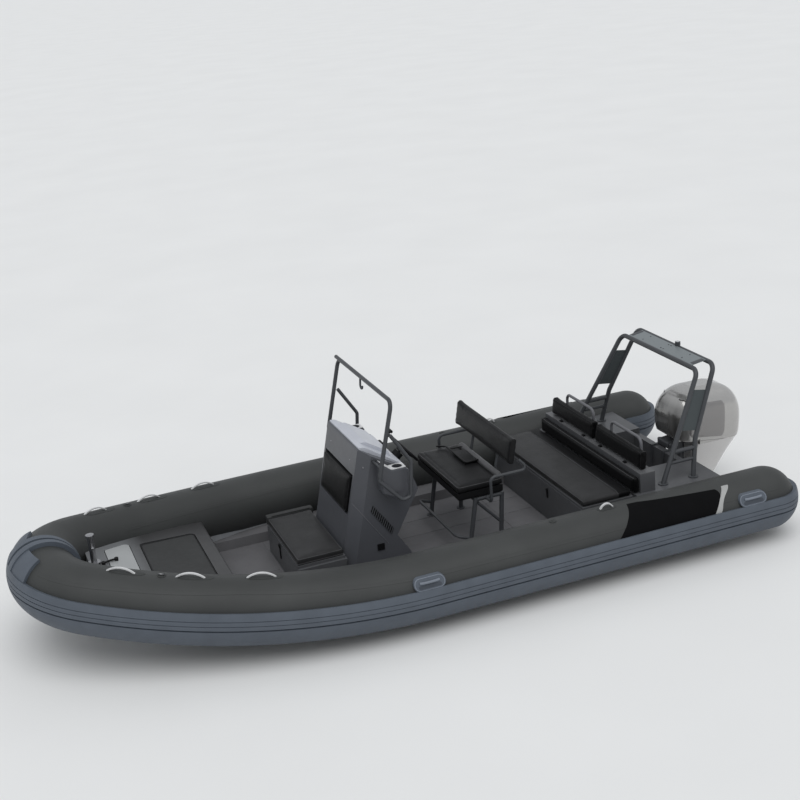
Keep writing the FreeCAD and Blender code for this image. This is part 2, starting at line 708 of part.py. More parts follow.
def console_front_x(z):
    return CONSOLE_FRONT_TOP_X + (CONSOLE_FRONT_TOP_Z - z) * CONSOLE_FRONT_SLOPE


def console_aft_x(z):
    """Console's aft face between its knee and its top."""
    share = (z - CONSOLE_KNEE_Z) / (CONSOLE_AFT_TOP_Z - CONSOLE_KNEE_Z)
    return CONSOLE_KNEE_X + (CONSOLE_AFT_TOP_X - CONSOLE_KNEE_X) * share


def console_side(inset=0.0, bottom=SOLE_Z):
    """Corners of the console's side view, moved in by an inset."""
    i = inset
    return [(console_front_x(bottom) - 1.05 * i, bottom),
            (CONSOLE_FRONT_TOP_X - 1.05 * i, CONSOLE_FRONT_TOP_Z - i, 12),
            (CONSOLE_AFT_TOP_X + 0.9 * i, CONSOLE_AFT_TOP_Z - 1.2 * i, 12),
            (CONSOLE_KNEE_X + 1.2 * i, CONSOLE_KNEE_Z, 20),
            (CONSOLE_WAIST_X + 1.2 * i, CONSOLE_WAIST_Z, 12),
            (CONSOLE_FOOT_X + 1.2 * i, CONSOLE_FOOT_Z, 20),
            (CONSOLE_FOOT_X - 30 + 1.2 * i, bottom)]


def console_corner_cut(inset=0.0):
    """Wedges that take off the console's front vertical corners."""
    cuts = []
    for side in (1, -1):
        wires = []
        for z in (SOLE_Z - 50, CONSOLE_FRONT_TOP_Z + 200):
            x = console_front_x(z)
            y_face = CONSOLE_FRONT_HALF - inset * 0.6
            y_side = CONSOLE_HALF_WIDTH - inset
            points = [V(x + 300, side * y_face, z), V(x, side * y_face, z),
                      V(x - CONSOLE_CHAMFER, side * (y_side + 0.5), z),
                      V(x - CONSOLE_CHAMFER, side * (y_side + 300), z), V(x + 300, side * (y_side + 300), z)]
            wires.append(Part.makePolygon(points + [points[0]]))
        cuts.append(Part.makeLoft(wires, True, True))
    return cuts


def make_console():
    half = CONSOLE_HALF_WIDTH
    outer = side_profile(console_side(), -half, half)
    for wedge in console_corner_cut():
        outer = outer.cut(wedge)
    inner = side_profile(console_side(PANEL_WALL, SOLE_Z - 1), -half + PANEL_WALL, half - PANEL_WALL)
    for wedge in console_corner_cut(PANEL_WALL * 1.3):
        inner = inner.cut(wedge)
    recess_bottom, recess_top = BACKREST_BOTTOM_Z - 6, BACKREST_TOP_Z + 6
    recess_half = BACKREST_HALF_WIDTH + 6

    def front_band(front, back, z0, z1, half_width):
        points = [(console_front_x(z0) + front, z0), (console_front_x(z1) + front, z1),
                  (console_front_x(z1) - back, z1), (console_front_x(z0) - back, z0)]
        return side_profile(points, -half_width, half_width)

    tray = front_band(0, BACKREST_INSET + PANEL_WALL, recess_bottom - PANEL_WALL, recess_top + PANEL_WALL,
                      recess_half + PANEL_WALL)
    inner = inner.cut(tray)
    shell = outer.cut(inner)
    shell = shell.cut(front_band(50, BACKREST_INSET, recess_bottom, recess_top, recess_half))
    cushion = front_band(BACKREST_PROUD, BACKREST_INSET - SEAT_GAP, BACKREST_BOTTOM_Z, BACKREST_TOP_Z,
                         BACKREST_HALF_WIDTH)
    return {"console": shell, "console_backrest": cushion}


def make_pods():
    """Cup holder pods, one on each side of the console."""
    y0 = CONSOLE_HALF_WIDTH + SEAT_GAP
    outline = [(POD_FWD_X, POD_TOP_Z + 72, 15), (CUP_X + 62, POD_TOP_Z, 10), (POD_AFT_X, POD_TOP_Z, 20),
               (POD_AFT_X, POD_BOTTOM_Z + 60, 40), (POD_AFT_X + 55, POD_BOTTOM_Z, 40), (POD_FWD_X, POD_TOP_Z - 190, 30)]
    pod = side_profile(outline, y0, POD_OUTER_Y)
    outer_edges = [e for e in pod.Edges if e.BoundBox.YMin > POD_OUTER_Y - 0.1]
    pod = pod.makeFillet(14, outer_edges)
    cup_y = (y0 + POD_OUTER_Y) / 2 - 1
    pod = pod.cut(Part.makeCylinder(CUP_RADIUS, CUP_DEPTH + 10, V(CUP_X, cup_y, POD_TOP_Z - CUP_DEPTH)))
    return {"cup_pods": both_sides(pod)}


def make_dash():
    """Pale dash moulding on the console's top, with the raised hood in the middle."""
    angle_top = [(CONSOLE_FRONT_TOP_X, CONSOLE_FRONT_TOP_Z), (CONSOLE_AFT_TOP_X, CONSOLE_AFT_TOP_Z)]
    (xf, zf), (xa, za) = angle_top
    slope = (zf - za) / (xf - xa)

    def top(x, lift):
        return za + (x - xa) * slope + lift

    lift = SEAT_GAP
    points = [(xf - 14, top(xf - 14, lift)), (xa + 12, top(xa + 12, lift)),
              (xa + 12, top(xa + 12, lift + DASH_THICKNESS), 5),
              (xf - 60, top(xf - 60, lift + DASH_THICKNESS + 26), 60), (xf - 14, top(xf - 14, lift + 16), 8)]
    plate = side_profile(points, -CONSOLE_FRONT_HALF + 6, CONSOLE_FRONT_HALF - 6)
    hood_points = [(xf - 30, top(xf - 30, lift)), (xa + 70, top(xa + 70, lift)),
                   (xa + 105, top(xa + 105, lift + HUMP_HEIGHT + 36), 12),
                   (xf - 110, top(xf - 110, lift + HUMP_HEIGHT + 44), 50),
                   (xf - 30, top(xf - 30, lift + 20), 20)]
    hood = side_profile(hood_points, -HUMP_HALF_WIDTH, HUMP_HALF_WIDTH)
    return {"dash": fused([plate, hood])}


def make_screen_hoop():
    y = HOOP_HALF_WIDTH
    leg_foot = (HOOP_FOOT_X, y, HOOP_FOOT_Z)
    top = (HOOP_TOP_X, y, HOOP_TOP_Z)
    hoop = bent_tube([leg_foot, top, (HOOP_TOP_X, -y, HOOP_TOP_Z), (leg_foot[0], -y, leg_foot[2])], HOOP_TUBE,
                     HOOP_BEND)
    low_x, low_z = HOOP_FOOT_X, HOOP_FOOT_Z
    loop = bent_tube([(low_x, y, low_z + 1), (low_x + 5, y, low_z - 35), (160, y, 842), (88, y, 858), (62, y, 1150),
                      (214, y, 1400)], HOOP_TUBE - 2, [0, 20, 45, 30, 45, 0])
    pieces = [hoop, loop, mirrored(loop)]
    console_y, pod_y = CONSOLE_HALF_WIDTH + SEAT_GAP, POD_OUTER_Y + SEAT_GAP
    for x, z, side_y in ((HOOP_FOOT_X - 18, HOOP_FOOT_Z + 65, console_y), (190, 876, pod_y)):
        foot = Part.makeCylinder(9, y - side_y, V(x, side_y, z), V(0, 1, 0))
        foot = foot.fuse(Part.makeCylinder(18, 6, V(x, side_y, z), V(0, 1, 0)))
        pieces += [foot, mirrored(foot)]
    return {"screen_hoop": fused(pieces)}


def wheel_frame():
    """Centre, axis and in-plane up direction of the steering wheel."""
    rake = math.radians(WHEEL_RAKE)
    return V(WHEEL_X, 0, WHEEL_Z), V(-math.cos(rake), 0, math.sin(rake)), V(math.sin(rake), 0, math.cos(rake))


def make_wheel():
    centre, axis, up = wheel_frame()
    rim = Part.makeTorus(WHEEL_RADIUS - WHEEL_RIM, WHEEL_RIM, centre, axis)
    hub = Part.makeCylinder(WHEEL_HUB_RADIUS, 34, centre - axis * 44, axis)
    pieces = [rim, hub]
    for turn in (90, 210, 330):
        a = math.radians(turn)
        direction = up * math.sin(a) + V(0, 1, 0) * math.cos(a)
        start = centre - axis * 27 + direction * (WHEEL_HUB_RADIUS - 8)
        end = centre + direction * (WHEEL_RADIUS - WHEEL_RIM)
        span = end - start
        pieces.append(Part.makeCylinder(9, span.Length, start, span))
    shaft_length = 50
    pieces.append(Part.makeCylinder(WHEEL_SHAFT_RADIUS, shaft_length, centre - axis * (44 + shaft_length), axis))
    boss = Part.makeCylinder(WHEEL_HUB_RADIUS + 8, 140, centre - axis * 190, axis)
    bore = Part.makeCylinder(WHEEL_SHAFT_RADIUS + RUNNING_GAP, shaft_length + 6, centre - axis * 100, axis)
    boss = boss.cut(bore).cut(side_profile(console_side(), -300, 300))
    return {"steering_wheel": fused(pieces), "helm_boss": boss}


def make_throttle():
    """Remote control on the console's face, starboard of the wheel, with its lever."""
    low, high = 880, 985
    base = side_profile([(console_aft_x(low), low), (console_aft_x(high), high), (console_aft_x(high) - 34, high, 12),
                         (console_aft_x(low) - 34, low, 12)], -330, -250)
    lever = bent_tube([(-35, -290, 930), (-75, -290, 1010), (-105, -290, 1060)], 8, [0, 20, 0])
    knob = Part.makeCylinder(14, 60, V(-105, -320, 1062), V(0, 1, 0))
    return {"throttle": fused([base, lever, knob])}


def make_louvres():
    """Dark vents low on the console's sides, and the access cover."""
    y = CONSOLE_HALF_WIDTH + SEAT_GAP
    long_side = V(-158, 0, -232)
    start = V(372, y, 716)
    across = V(-26, 0, 60)
    corners = [start, start + long_side, start + long_side + across * 0.8, start + across * 0.8]
    plate = Part.Face(Part.makePolygon(corners + [corners[0]])).extrude(V(0, 6, 0))
    cover = box(285, 345, y, y + 7, 365, 420)
    return {"console_vents": Part.makeCompound([plate, cover, mirrored(plate), mirrored(cover)])}


def make_helm_seat():
    pan_top = HELM_TOP_Z - HELM_CUSHION
    pan = box(HELM_AFT_X + 10, HELM_FWD_X - 12, -HELM_HALF_WIDTH + 14, HELM_HALF_WIDTH - 14, pan_top - HELM_PAN,
              pan_top)
    pan = pan.makeFillet(24, [e for e in pan.Edges if e.BoundBox.ZMax < pan_top - HELM_PAN + 1])
    cushion = box(HELM_AFT_X, HELM_FWD_X, -HELM_HALF_WIDTH, HELM_HALF_WIDTH, pan_top + SEAT_GAP, HELM_TOP_Z)
    cushion = cushion.makeFillet(18, [e for e in cushion.Edges if e.BoundBox.ZMin > HELM_TOP_Z - 1])
    tilt = math.tan(math.radians(12))
    x, t = HELM_BACK_X, HELM_BACK_THICKNESS
    z0, z1 = HELM_BACK_BOTTOM_Z, HELM_BACK_TOP_Z
    rise = (z1 - z0) * tilt
    back = side_profile([(x + rise, z0, 14), (x, z1, 20), (x - t, z1, 20), (x + rise - t, z0, 14)],
                        -HELM_BACK_HALF, HELM_BACK_HALF)
    return {"helm_pan": pan, "helm_cushion": cushion, "helm_backrest": back}


def make_helm_frame():
    pan_bottom = HELM_TOP_Z - HELM_CUSHION - HELM_PAN
    y = HELM_LEG_Y
    r = HELM_TUBE
    top = pan_bottom - SEAT_GAP
    front_x, rear_x = HELM_FRONT_TOP_X + 6, HELM_REAR_TOP_X + 3
    side = [bent_tube([(HELM_FRONT_FOOT_X, y, SOLE_Z), (HELM_FRONT_TOP_X, y, top)], r, 0),
            bent_tube([(HELM_REAR_FOOT_X, y, SOLE_Z), (HELM_REAR_TOP_X, y, top)], r, 0),
            bent_tube([(HELM_FRONT_TOP_X - 14, y, 560), (HELM_REAR_FOOT_X - 7, y, 345)], RAIL_TUBE, 0),
            Part.makeCylinder(38, 8, V(HELM_FRONT_FOOT_X, y, SOLE_Z), V(0, 0, 1)),
            Part.makeCylinder(38, 8, V(HELM_REAR_FOOT_X, y, SOLE_Z), V(0, 0, 1))]
    rail_z = top - r
    arm = bent_tube([(-640, y, rail_z), (-640, ARM_Y, rail_z), (-640, ARM_Y, ARM_TOP_Z), (-990, ARM_Y, ARM_TOP_Z),
                     (-905, ARM_Y - 20, 905)], RAIL_TUBE, [0, 40, 45, 30, 0])
    side.append(bent_tube([(front_x, y, rail_z), (rear_x, y, rail_z)], r, 0))
    cross = []
    for x in (front_x, rear_x):
        cross.append(Part.makeCylinder(r, 2 * y, V(x, -y, rail_z), V(0, 1, 0)))
    foot_x = HELM_FRONT_FOOT_X - 20
    foot = bent_tube([(foot_x, y, 252), (foot_x + 125, y, 300), (foot_x + 125, -y, 300), (foot_x, -y, 252)], RAIL_TUBE,
                     50)
    stalks = []
    for ys in (-250, 250):
        stalks.append(bent_tube([(HELM_AFT_X - 18, ys, top - 10), (HELM_AFT_X - 22, ys, 760),
                                 (HELM_BACK_X - 28, ys, 1000)], RAIL_TUBE, [0, 80, 0]))
        stalks.append(box(HELM_AFT_X - 20, rear_x, ys - 12, ys + 12, top - 30, top - 8))
    solids = side + [mirrored(s) for s in side] + [arm, mirrored(arm)] + cross + [foot] + stalks
    whole = fused(solids)
    seat = make_helm_seat()
    for name in ("helm_pan", "helm_backrest", "helm_cushion"):
        whole = whole.cut(seat[name])
    whole = whole.cut(box(-1000, 0, -y - 60, y + 60, 0, SOLE_Z))
    return {"helm_frame": whole}


def make_bench():
    half = BENCH_HALF_WIDTH
    lid_bottom = BENCH_TOP_Z - BENCH_CUSHION - LID_THICKNESS
    shell = hollow_box(BENCH_AFT_X, BENCH_FWD_X, half, LEDGE_Z + SEAT_GAP, lid_bottom - SEAT_GAP, PANEL_WALL)
    lower = hollow_box(BENCH_AFT_X, BENCH_FWD_X, LEDGE_HALF_WIDTH - 14, SOLE_Z, lid_bottom - SEAT_GAP, PANEL_WALL)
    inner = box(BENCH_AFT_X + PANEL_WALL, BENCH_FWD_X - PANEL_WALL, -LEDGE_HALF_WIDTH + 30,
                LEDGE_HALF_WIDTH - 30, SOLE_Z - 1, lid_bottom - PANEL_WALL)
    opening = box(BENCH_AFT_X + 60, BENCH_FWD_X - 60, -half + 60, half - 60, lid_bottom - 60, lid_bottom + 10)
    shell = fused([shell, lower]).cut(inner).cut(opening)
    shell = clear_of_tubes(shell)
    lid = box(BENCH_HINGE_X, BENCH_FWD_X - 4, -half + 6, half - 6, lid_bottom, lid_bottom + LID_THICKNESS)
    cushion = box(BENCH_HINGE_X, BENCH_FWD_X, -half + 2, half - 2, lid_bottom + LID_THICKNESS, BENCH_TOP_Z)
    cushion = cushion.makeFillet(16, [e for e in cushion.Edges if e.BoundBox.ZMin > BENCH_TOP_Z - 1])
    return {"bench_locker": shell, "bench_lid": lid, "bench_cushion": cushion}


def make_bench_back():
    half = BENCH_HALF_WIDTH
    base = hollow_box(BENCH_BACK_AFT_X, ROLL_AFT_X - SEAT_GAP, half, STERN_DECK_Z + SEAT_GAP, BENCH_LEDGE_TOP_Z,
                      PANEL_WALL)
    roll_bottom = STERN_DECK_Z + SEAT_GAP
    roll = side_profile([(ROLL_FWD_X, roll_bottom, 20), (ROLL_FWD_X, ROLL_TOP_Z, 24),
                         (ROLL_AFT_X, ROLL_TOP_Z, 5), (ROLL_AFT_X, roll_bottom, 5)], -half, half)
    cushions = []
    for side in (1, -1):
        y0, y1 = sorted((side * UPPER_CUSHION_IN, side * UPPER_CUSHION_OUT))
        x, t = UPPER_CUSHION_X, UPPER_CUSHION_THICKNESS
        cushion = side_profile([(x, BENCH_LEDGE_TOP_Z + SEAT_GAP, 10), (x - 18, UPPER_CUSHION_TOP_Z, 18),
                                (x - 18 - t, UPPER_CUSHION_TOP_Z, 18), (x - t, BENCH_LEDGE_TOP_Z + SEAT_GAP, 10)],
                               y0, y1)
        cushions.append(cushion)
    hoops = []
    x = BACK_HOOP_X
    hoop = bent_tube([(x, BACK_HOOP_IN, BENCH_LEDGE_TOP_Z), (x, BACK_HOOP_IN, BACK_HOOP_TOP_Z),
                      (x, BACK_HOOP_OUT, BACK_HOOP_TOP_Z), (x, BACK_HOOP_OUT, BENCH_LEDGE_TOP_Z)], BACK_HOOP_TUBE,
                     55)
    clips = []
    for y in (-572, -150, 150, 572):
        clips.append(box(ROLL_AFT_X - 32, ROLL_AFT_X - 8, y - 18, y + 18, BENCH_LEDGE_TOP_Z,
                         BENCH_LEDGE_TOP_Z + 12))
    return {"bench_back": base, "bench_roll": roll, "bench_upper_cushions": Part.makeCompound(cushions),
            "bench_hoops": both_sides(hoop), "bench_clips": Part.makeCompound(clips)}


def make_stern():
    """Stern moulding: side decks, engine well and transom board."""
    half = hull_station(-2000)[0] - GUNWALE_WALL - 1
    x0, x1 = TRANSOM_X, BENCH_BACK_AFT_X - SEAT_GAP
    deck = box(x0, x1, -1020, 1020, HULL_TOP_Z, STERN_DECK_Z)
    deck = deck.cut(box(x0 - 1, x1 + 1, half, 1100, 0, 260)).cut(box(x0 - 1, x1 + 1, -1100, -half, 0, 260))
    deck = clear_of_tubes(deck)
    well = box(x0 + TRANSOM_THICKNESS, x1 - 60, -WELL_HALF_WIDTH, WELL_HALF_WIDTH, WELL_SOLE_Z, 700)
    deck = deck.cut(well)
    notch = box(x0 - 1, x0 + TRANSOM_THICKNESS + 1, -WELL_HALF_WIDTH, WELL_HALF_WIDTH, TRANSOM_TOP_Z, 700)
    deck = deck.cut(notch)
    bridge = box(x1, BENCH_AFT_X - SEAT_GAP, -half, half, SOLE_Z, STERN_DECK_Z)
    bridge = clear_of_tubes(bridge)
    for side in (-1, 1):
        y0, y1 = sorted((side * (LEDGE_HALF_WIDTH - 10), side * 1000))
        bridge = bridge.cut(box(x1 - 1, BENCH_AFT_X, y0, y1, 0, LEDGE_Z))
    return {"stern_deck": fused([deck, bridge])}


def arch_leg_y(z):
    share = (ARCH_TOP_Z - z) / (ARCH_TOP_Z - STERN_DECK_Z)
    return ARCH_TOP_HALF + (ARCH_FOOT_HALF - ARCH_TOP_HALF) * share


def arch_front_x(z):
    share = (ARCH_TOP_Z - z) / (ARCH_TOP_Z - STERN_DECK_Z)
    return ARCH_FRONT_TOP_X + (ARCH_FRONT_FOOT_X - ARCH_FRONT_TOP_X) * share


def arch_rear_x(z):
    if z < ARCH_KNEE_Z:
        share = (ARCH_KNEE_Z - z) / (ARCH_KNEE_Z - STERN_DECK_Z)
        return ARCH_KNEE_X + (ARCH_REAR_FOOT_X - ARCH_KNEE_X) * share
    share = (ARCH_TOP_Z + ARCH_REAR_RISE - z) / (ARCH_TOP_Z + ARCH_REAR_RISE - ARCH_KNEE_Z)
    rear_top = ARCH_FRONT_TOP_X - ARCH_TOP_DEPTH
    return rear_top + (ARCH_KNEE_X - rear_top) * share


def arch_side_plate():
    """Plate between the port legs, from near their bends to above their knees."""
    points = []
    corners = ((1222, arch_front_x(1222)), (1196, arch_rear_x(1196)), (880, arch_rear_x(880)), (905, arch_front_x(905)))
    for z, x in corners:
        points.append(V(x, arch_leg_y(z), z))
    normal = (points[1] - points[0]).cross(points[3] - points[0]).normalize()
    flat = []
    for p in points:
        flat.append(p - normal * ((p - points[0]).dot(normal)))
    plate = Part.Face(Part.makePolygon(flat + [flat[0]])).extrude(normal * ARCH_PLATE)
    plate.translate(normal * (-ARCH_PLATE / 2))
    return plate


def make_arch():
    foot_z = STERN_DECK_Z
    yf = ARCH_FOOT_HALF
    yt = ARCH_TOP_HALF
    rear_z = ARCH_TOP_Z + ARCH_REAR_RISE
    rear_x = ARCH_FRONT_TOP_X - ARCH_TOP_DEPTH
    front = bent_tube([(ARCH_FRONT_FOOT_X, yf, foot_z), (ARCH_FRONT_TOP_X, yt, ARCH_TOP_Z),
                       (ARCH_FRONT_TOP_X, -yt, ARCH_TOP_Z), (ARCH_FRONT_FOOT_X, -yf, foot_z)], ARCH_TUBE, ARCH_BEND)
    yk = arch_leg_y(ARCH_KNEE_Z)
    rear = bent_tube([(ARCH_REAR_FOOT_X, yf, foot_z), (ARCH_KNEE_X, yk, ARCH_KNEE_Z), (rear_x, yt, rear_z),
                      (rear_x, -yt, rear_z), (ARCH_KNEE_X, -yk, ARCH_KNEE_Z), (ARCH_REAR_FOOT_X, -yf, foot_z)],
                     ARCH_TUBE, [0, 120, ARCH_BEND, ARCH_BEND, 120, 0])
    members = []
    for z, radius in ((742, ARCH_TUBE - 3), (655, ARCH_TUBE - 7)):
        y = arch_leg_y(z)
        members.append(bent_tube([(arch_front_x(z), y, z), (arch_rear_x(z), y, z)], radius, 0))
    for x in (ARCH_FRONT_FOOT_X, ARCH_REAR_FOOT_X):
        members.append(Part.makeCylinder(ARCH_TUBE + 22, 8, V(x, yf, foot_z)))
    frame = fused([front, rear] + members + [mirrored(m) for m in members])
    frame = frame.cut(box(-3000, -1800, -1000, 1000, foot_z - 100, foot_z + SEAT_GAP))
    lift = ARCH_TUBE - 10
    x0, x1 = ARCH_FRONT_TOP_X, rear_x
    top_plate = side_profile([(x0, ARCH_TOP_Z + lift), (x1, rear_z + lift), (x1, rear_z + lift + ARCH_PLATE),
                              (x0, ARCH_TOP_Z + lift + ARCH_PLATE)], -ARCH_TOP_PLATE_HALF, ARCH_TOP_PLATE_HALF)
    side_plate = arch_side_plate()
    solids = []
    for plate in (top_plate, side_plate, mirrored(side_plate)):
        solids.append(max(plate.cut(frame).Solids, key=lambda s: s.Volume))
    light = Part.makeCylinder(NAV_LIGHT_RADIUS, 34, V(rear_x, NAV_LIGHT_Y, rear_z + ARCH_TUBE - 3))
    return {"roll_arch": frame, "arch_plates": Part.makeCompound(solids), "nav_light": light.cut(frame)}


def make_engine_mount():
    """Clamps on the transom with the tilt shaft, and the swivel that tilts on it."""
    face = TRANSOM_X
    cheek_side = [(face, TILT_Z - 336, 10), (face - 60, TILT_Z - 366, 20), (face - 95, TILT_Z - 186, 40),
                  (TILT_X - 28, TILT_Z + 20, 20), (TILT_X + 12, TILT_Z + 28, 12), (face, TILT_Z + 20, 6)]
    inner_face = TRANSOM_X + TRANSOM_THICKNESS
    pieces = []
    for side in (1, -1):
        y0, y1 = sorted((side * CLAMP_INNER, side * (CLAMP_INNER + CLAMP_THICKNESS)))
        pieces.append(side_profile(cheek_side, y0, y1))
        pieces.append(box(face, inner_face + 16, y0, y1, TRANSOM_TOP_Z, TRANSOM_TOP_Z + 14))
        pieces.append(box(inner_face, inner_face + 16, y0, y1, TRANSOM_TOP_Z - 170, TRANSOM_TOP_Z + 14))
    reach = CLAMP_INNER + CLAMP_THICKNESS + 12
    pieces.append(Part.makeCylinder(TILT_SHAFT_RADIUS, 2 * reach, V(TILT_X, -reach, TILT_Z), V(0, 1, 0)))
    pieces.append(Part.makeCylinder(RAM_PIN_RADIUS, 2 * CLAMP_INNER + 20, V(RAM_BASE_X, -CLAMP_INNER - 10, RAM_BASE_Z),
                                    V(0, 1, 0)))
    clamps = fused(pieces)

    arm_side = [(TILT_X + 30, TILT_Z - 28, 20), (TILT_X + 30, TILT_Z + 30, 20), (STEER_X + 40, TILT_Z + 44, 10),
                (STEER_X, TILT_Z + 44), (STEER_X, TILT_Z - 90), (STEER_X + 60, TILT_Z - 50, 30)]
    arm = side_profile(arm_side, -SWIVEL_HALF, SWIVEL_HALF)
    arm = arm.cut(box(STEER_X - 60, STEER_X + 14, -200, 200, 0, 1000))
    column_z = YOKE_Z + 60
    column = Part.makeCylinder(STEER_COLUMN_RADIUS, TILT_Z + 40 - column_z, V(STEER_X, 0, column_z))
    swivel = fused([arm, column])
    swivel = swivel.cut(box(RAM_EYE_X - 32, RAM_EYE_X + 36, -RAM_SLOT_HALF, RAM_SLOT_HALF, RAM_EYE_Z - 158,
                            RAM_EYE_Z + 30))
    eye_pin = Part.makeCylinder(RAM_EYE_PIN_RADIUS, 2 * RAM_SLOT_HALF + 8,
                                V(RAM_EYE_X, -RAM_SLOT_HALF - 4, RAM_EYE_Z), V(0, 1, 0))
    swivel = fused([swivel, eye_pin])
    swivel = swivel.cut(Part.makeCylinder(TILT_SHAFT_RADIUS + RUNNING_GAP, 400, V(TILT_X, -200, TILT_Z), V(0, 1, 0)))
    swivel = swivel.cut(Part.makeCylinder(STEER_SHAFT_RADIUS + RUNNING_GAP, 700, V(STEER_X, 0, 0)))
    return {"engine_clamps": clamps, "engine_swivel": swivel}


def make_tilt_ram():
    """Barrel on the clamps' lower pin, and the rod whose eye has play on the swivel's pin."""
    base = V(RAM_BASE_X, 0, RAM_BASE_Z)
    eye = V(RAM_EYE_X, 0, RAM_EYE_Z)
    along = (eye - base).normalize()
    across = V(0, 1, 0)
    knuckle = Part.makeCylinder(RAM_BARREL_RADIUS - 4, 28, base - across * 14, across)
    tube = Part.makeCylinder(RAM_BARREL_RADIUS, RAM_BARREL_LENGTH - 14, base + along * 14, along)
    barrel = fused([knuckle, tube])
    barrel = barrel.cut(Part.makeCylinder(RAM_PIN_RADIUS + RUNNING_GAP, 60, base - across * 30, across))
    bore = Part.makeCylinder(RAM_ROD_RADIUS + RUNNING_GAP, RAM_BARREL_LENGTH, base + along * 40, along)
    length = (eye - base).Length
    rod = Part.makeCylinder(RAM_ROD_RADIUS, length - 60 - 12, base + along * 60, along)
    eye_radius = RAM_EYE_PIN_RADIUS + RAM_EYE_PLAY
    ring = Part.makeCylinder(eye_radius + 7, 22, eye - across * 11, across)
    rod = fused([rod, ring]).cut(Part.makeCylinder(eye_radius, 60, eye - across * 30, across))
    return {"tilt_barrel": barrel.cut(bore), "tilt_rod": rod}


def plan_outline(front_x, rear_x, half, front_radius, rear_radius, z):
    """Closed wire of a rounded plan outline at a height."""
    corners = [(V(front_x, -half, z), front_radius), (V(front_x, half, z), front_radius),
               (V(rear_x, half, z), rear_radius), (V(rear_x, -half, z), rear_radius)]
    return rounded_wire(corners)


def make_midsection():
    """Leg of the outboard from the cowl's pan down to the plate, with the steering shaft."""
    front = STEER_X - STEER_COLUMN_RADIUS - COLUMN_GAP
    top = COWL_BOTTOM_Z
    skirt_z = COWL_BOTTOM_Z - COWL_SKIRT_DROP
    shaft = Part.makeCylinder(STEER_SHAFT_RADIUS, top - 6 - YOKE_Z - 30, V(STEER_X, 0, YOKE_Z + 30))
    pan = box(front - 18, STEER_X + 95, -150, 150, top - 12, top)
    riser = box(front - 18, front, -150, 150, skirt_z - 60, top)
    yoke = box(front - 22, STEER_X + 34, -58, 58, YOKE_Z, YOKE_Z + 52)
    wires = []
    for z, rear, half, corner in ((skirt_z, 508, 220, 95), (skirt_z - 70, 478, 186, 85), (skirt_z - 200, 424, 120, 60),
                                  (skirt_z - 320, 362, 84, 40), (YOKE_Z, 272, 62, 30), (PLATE_Z, 262, 60, 28)):
        wires.append(plan_outline(front, STEER_X - rear, half, 8, corner, z))
    apron = Part.makeLoft(wires[:5], True, False)
    leg = Part.makeLoft(wires[4:], True, True)
    return {"engine_midsection": fused([shaft, pan, riser, yoke, apron, leg])}


def make_gearcase():
    low = PLATE_Z - PLATE_THICKNESS
    x = STEER_X
    plate = plan_profile([(x - 40, -60, 20), (x - 40, 60, 20), (x - 440, 110, 60), (x - 530, 60, 40),
                          (x - 530, -60, 40), (x - 440, -110, 60)], low, PLATE_Z)
    strut = side_profile([(x - 80, low), (x - 264, low), (x - 245, PROP_Z + 40), (x - 90, PROP_Z + 40)], -28, 28)
    torpedo = Part.makeCylinder(GEARCASE_RADIUS, GEARCASE_FWD_X - GEARCASE_AFT_X, V(GEARCASE_AFT_X, 0, PROP_Z),
                                V(1, 0, 0))
    nose = Part.makeSphere(GEARCASE_RADIUS, V(GEARCASE_FWD_X, 0, PROP_Z))
    keel = PROP_Z - SKEG_DEPTH
    fin = GEARCASE_FWD_X - 60
    skeg = side_profile([(fin, PROP_Z - 40), (fin - 140, PROP_Z - 40), (fin - 160, keel, 20), (fin - 100, keel, 20)],
                        -7, 7)
    reach = PROP_HUB_LENGTH - 10
    shaft = Part.makeCylinder(PROP_SHAFT_RADIUS, reach, V(GEARCASE_AFT_X - reach, 0, PROP_Z), V(1, 0, 0))
    return {"engine_gearcase": fused([plate, strut, torpedo, nose, skeg, shaft])}


def make_propeller():
    aft = PROP_FWD_X - PROP_HUB_LENGTH
    hub = Part.makeCylinder(PROP_HUB_RADIUS, PROP_HUB_LENGTH, V(aft, 0, PROP_Z), V(1, 0, 0))
    blades = []
    for turn in (0, 120, 240):
        wires = []
        for radius, chord, pitch, rake in ((30, 90, 62, 0), (110, 150, 38, -6), (PROP_RADIUS, 60, 24, -14)):
            a = math.radians(pitch)
            c, s = math.cos(a), math.sin(a)
            x = PROP_FWD_X - PROP_HUB_LENGTH / 2 + rake
            half, t = chord / 2, 4.0
            points = [V(x - half * s - t * c, half * c - t * s, radius), V(x + half * s - t * c, -half * c - t * s, radius),
                      V(x + half * s + t * c, -half * c + t * s, radius), V(x - half * s + t * c, half * c + t * s, radius)]
            wires.append(Part.makePolygon(points + [points[0]]))
        blade = Part.makeLoft(wires, True, True)
        blade.rotate(V(0, 0, 0), V(1, 0, 0), turn)
        blade.translate(V(0, 0, PROP_Z))
        blades.append(blade)
    bore_depth = PROP_HUB_LENGTH - 10
    bore = Part.makeCylinder(PROP_SHAFT_RADIUS + RUNNING_GAP, bore_depth, V(PROP_FWD_X - bore_depth, 0, PROP_Z),
                             V(1, 0, 0))
    return {"propeller": fused([hub] + blades).cut(bore)}


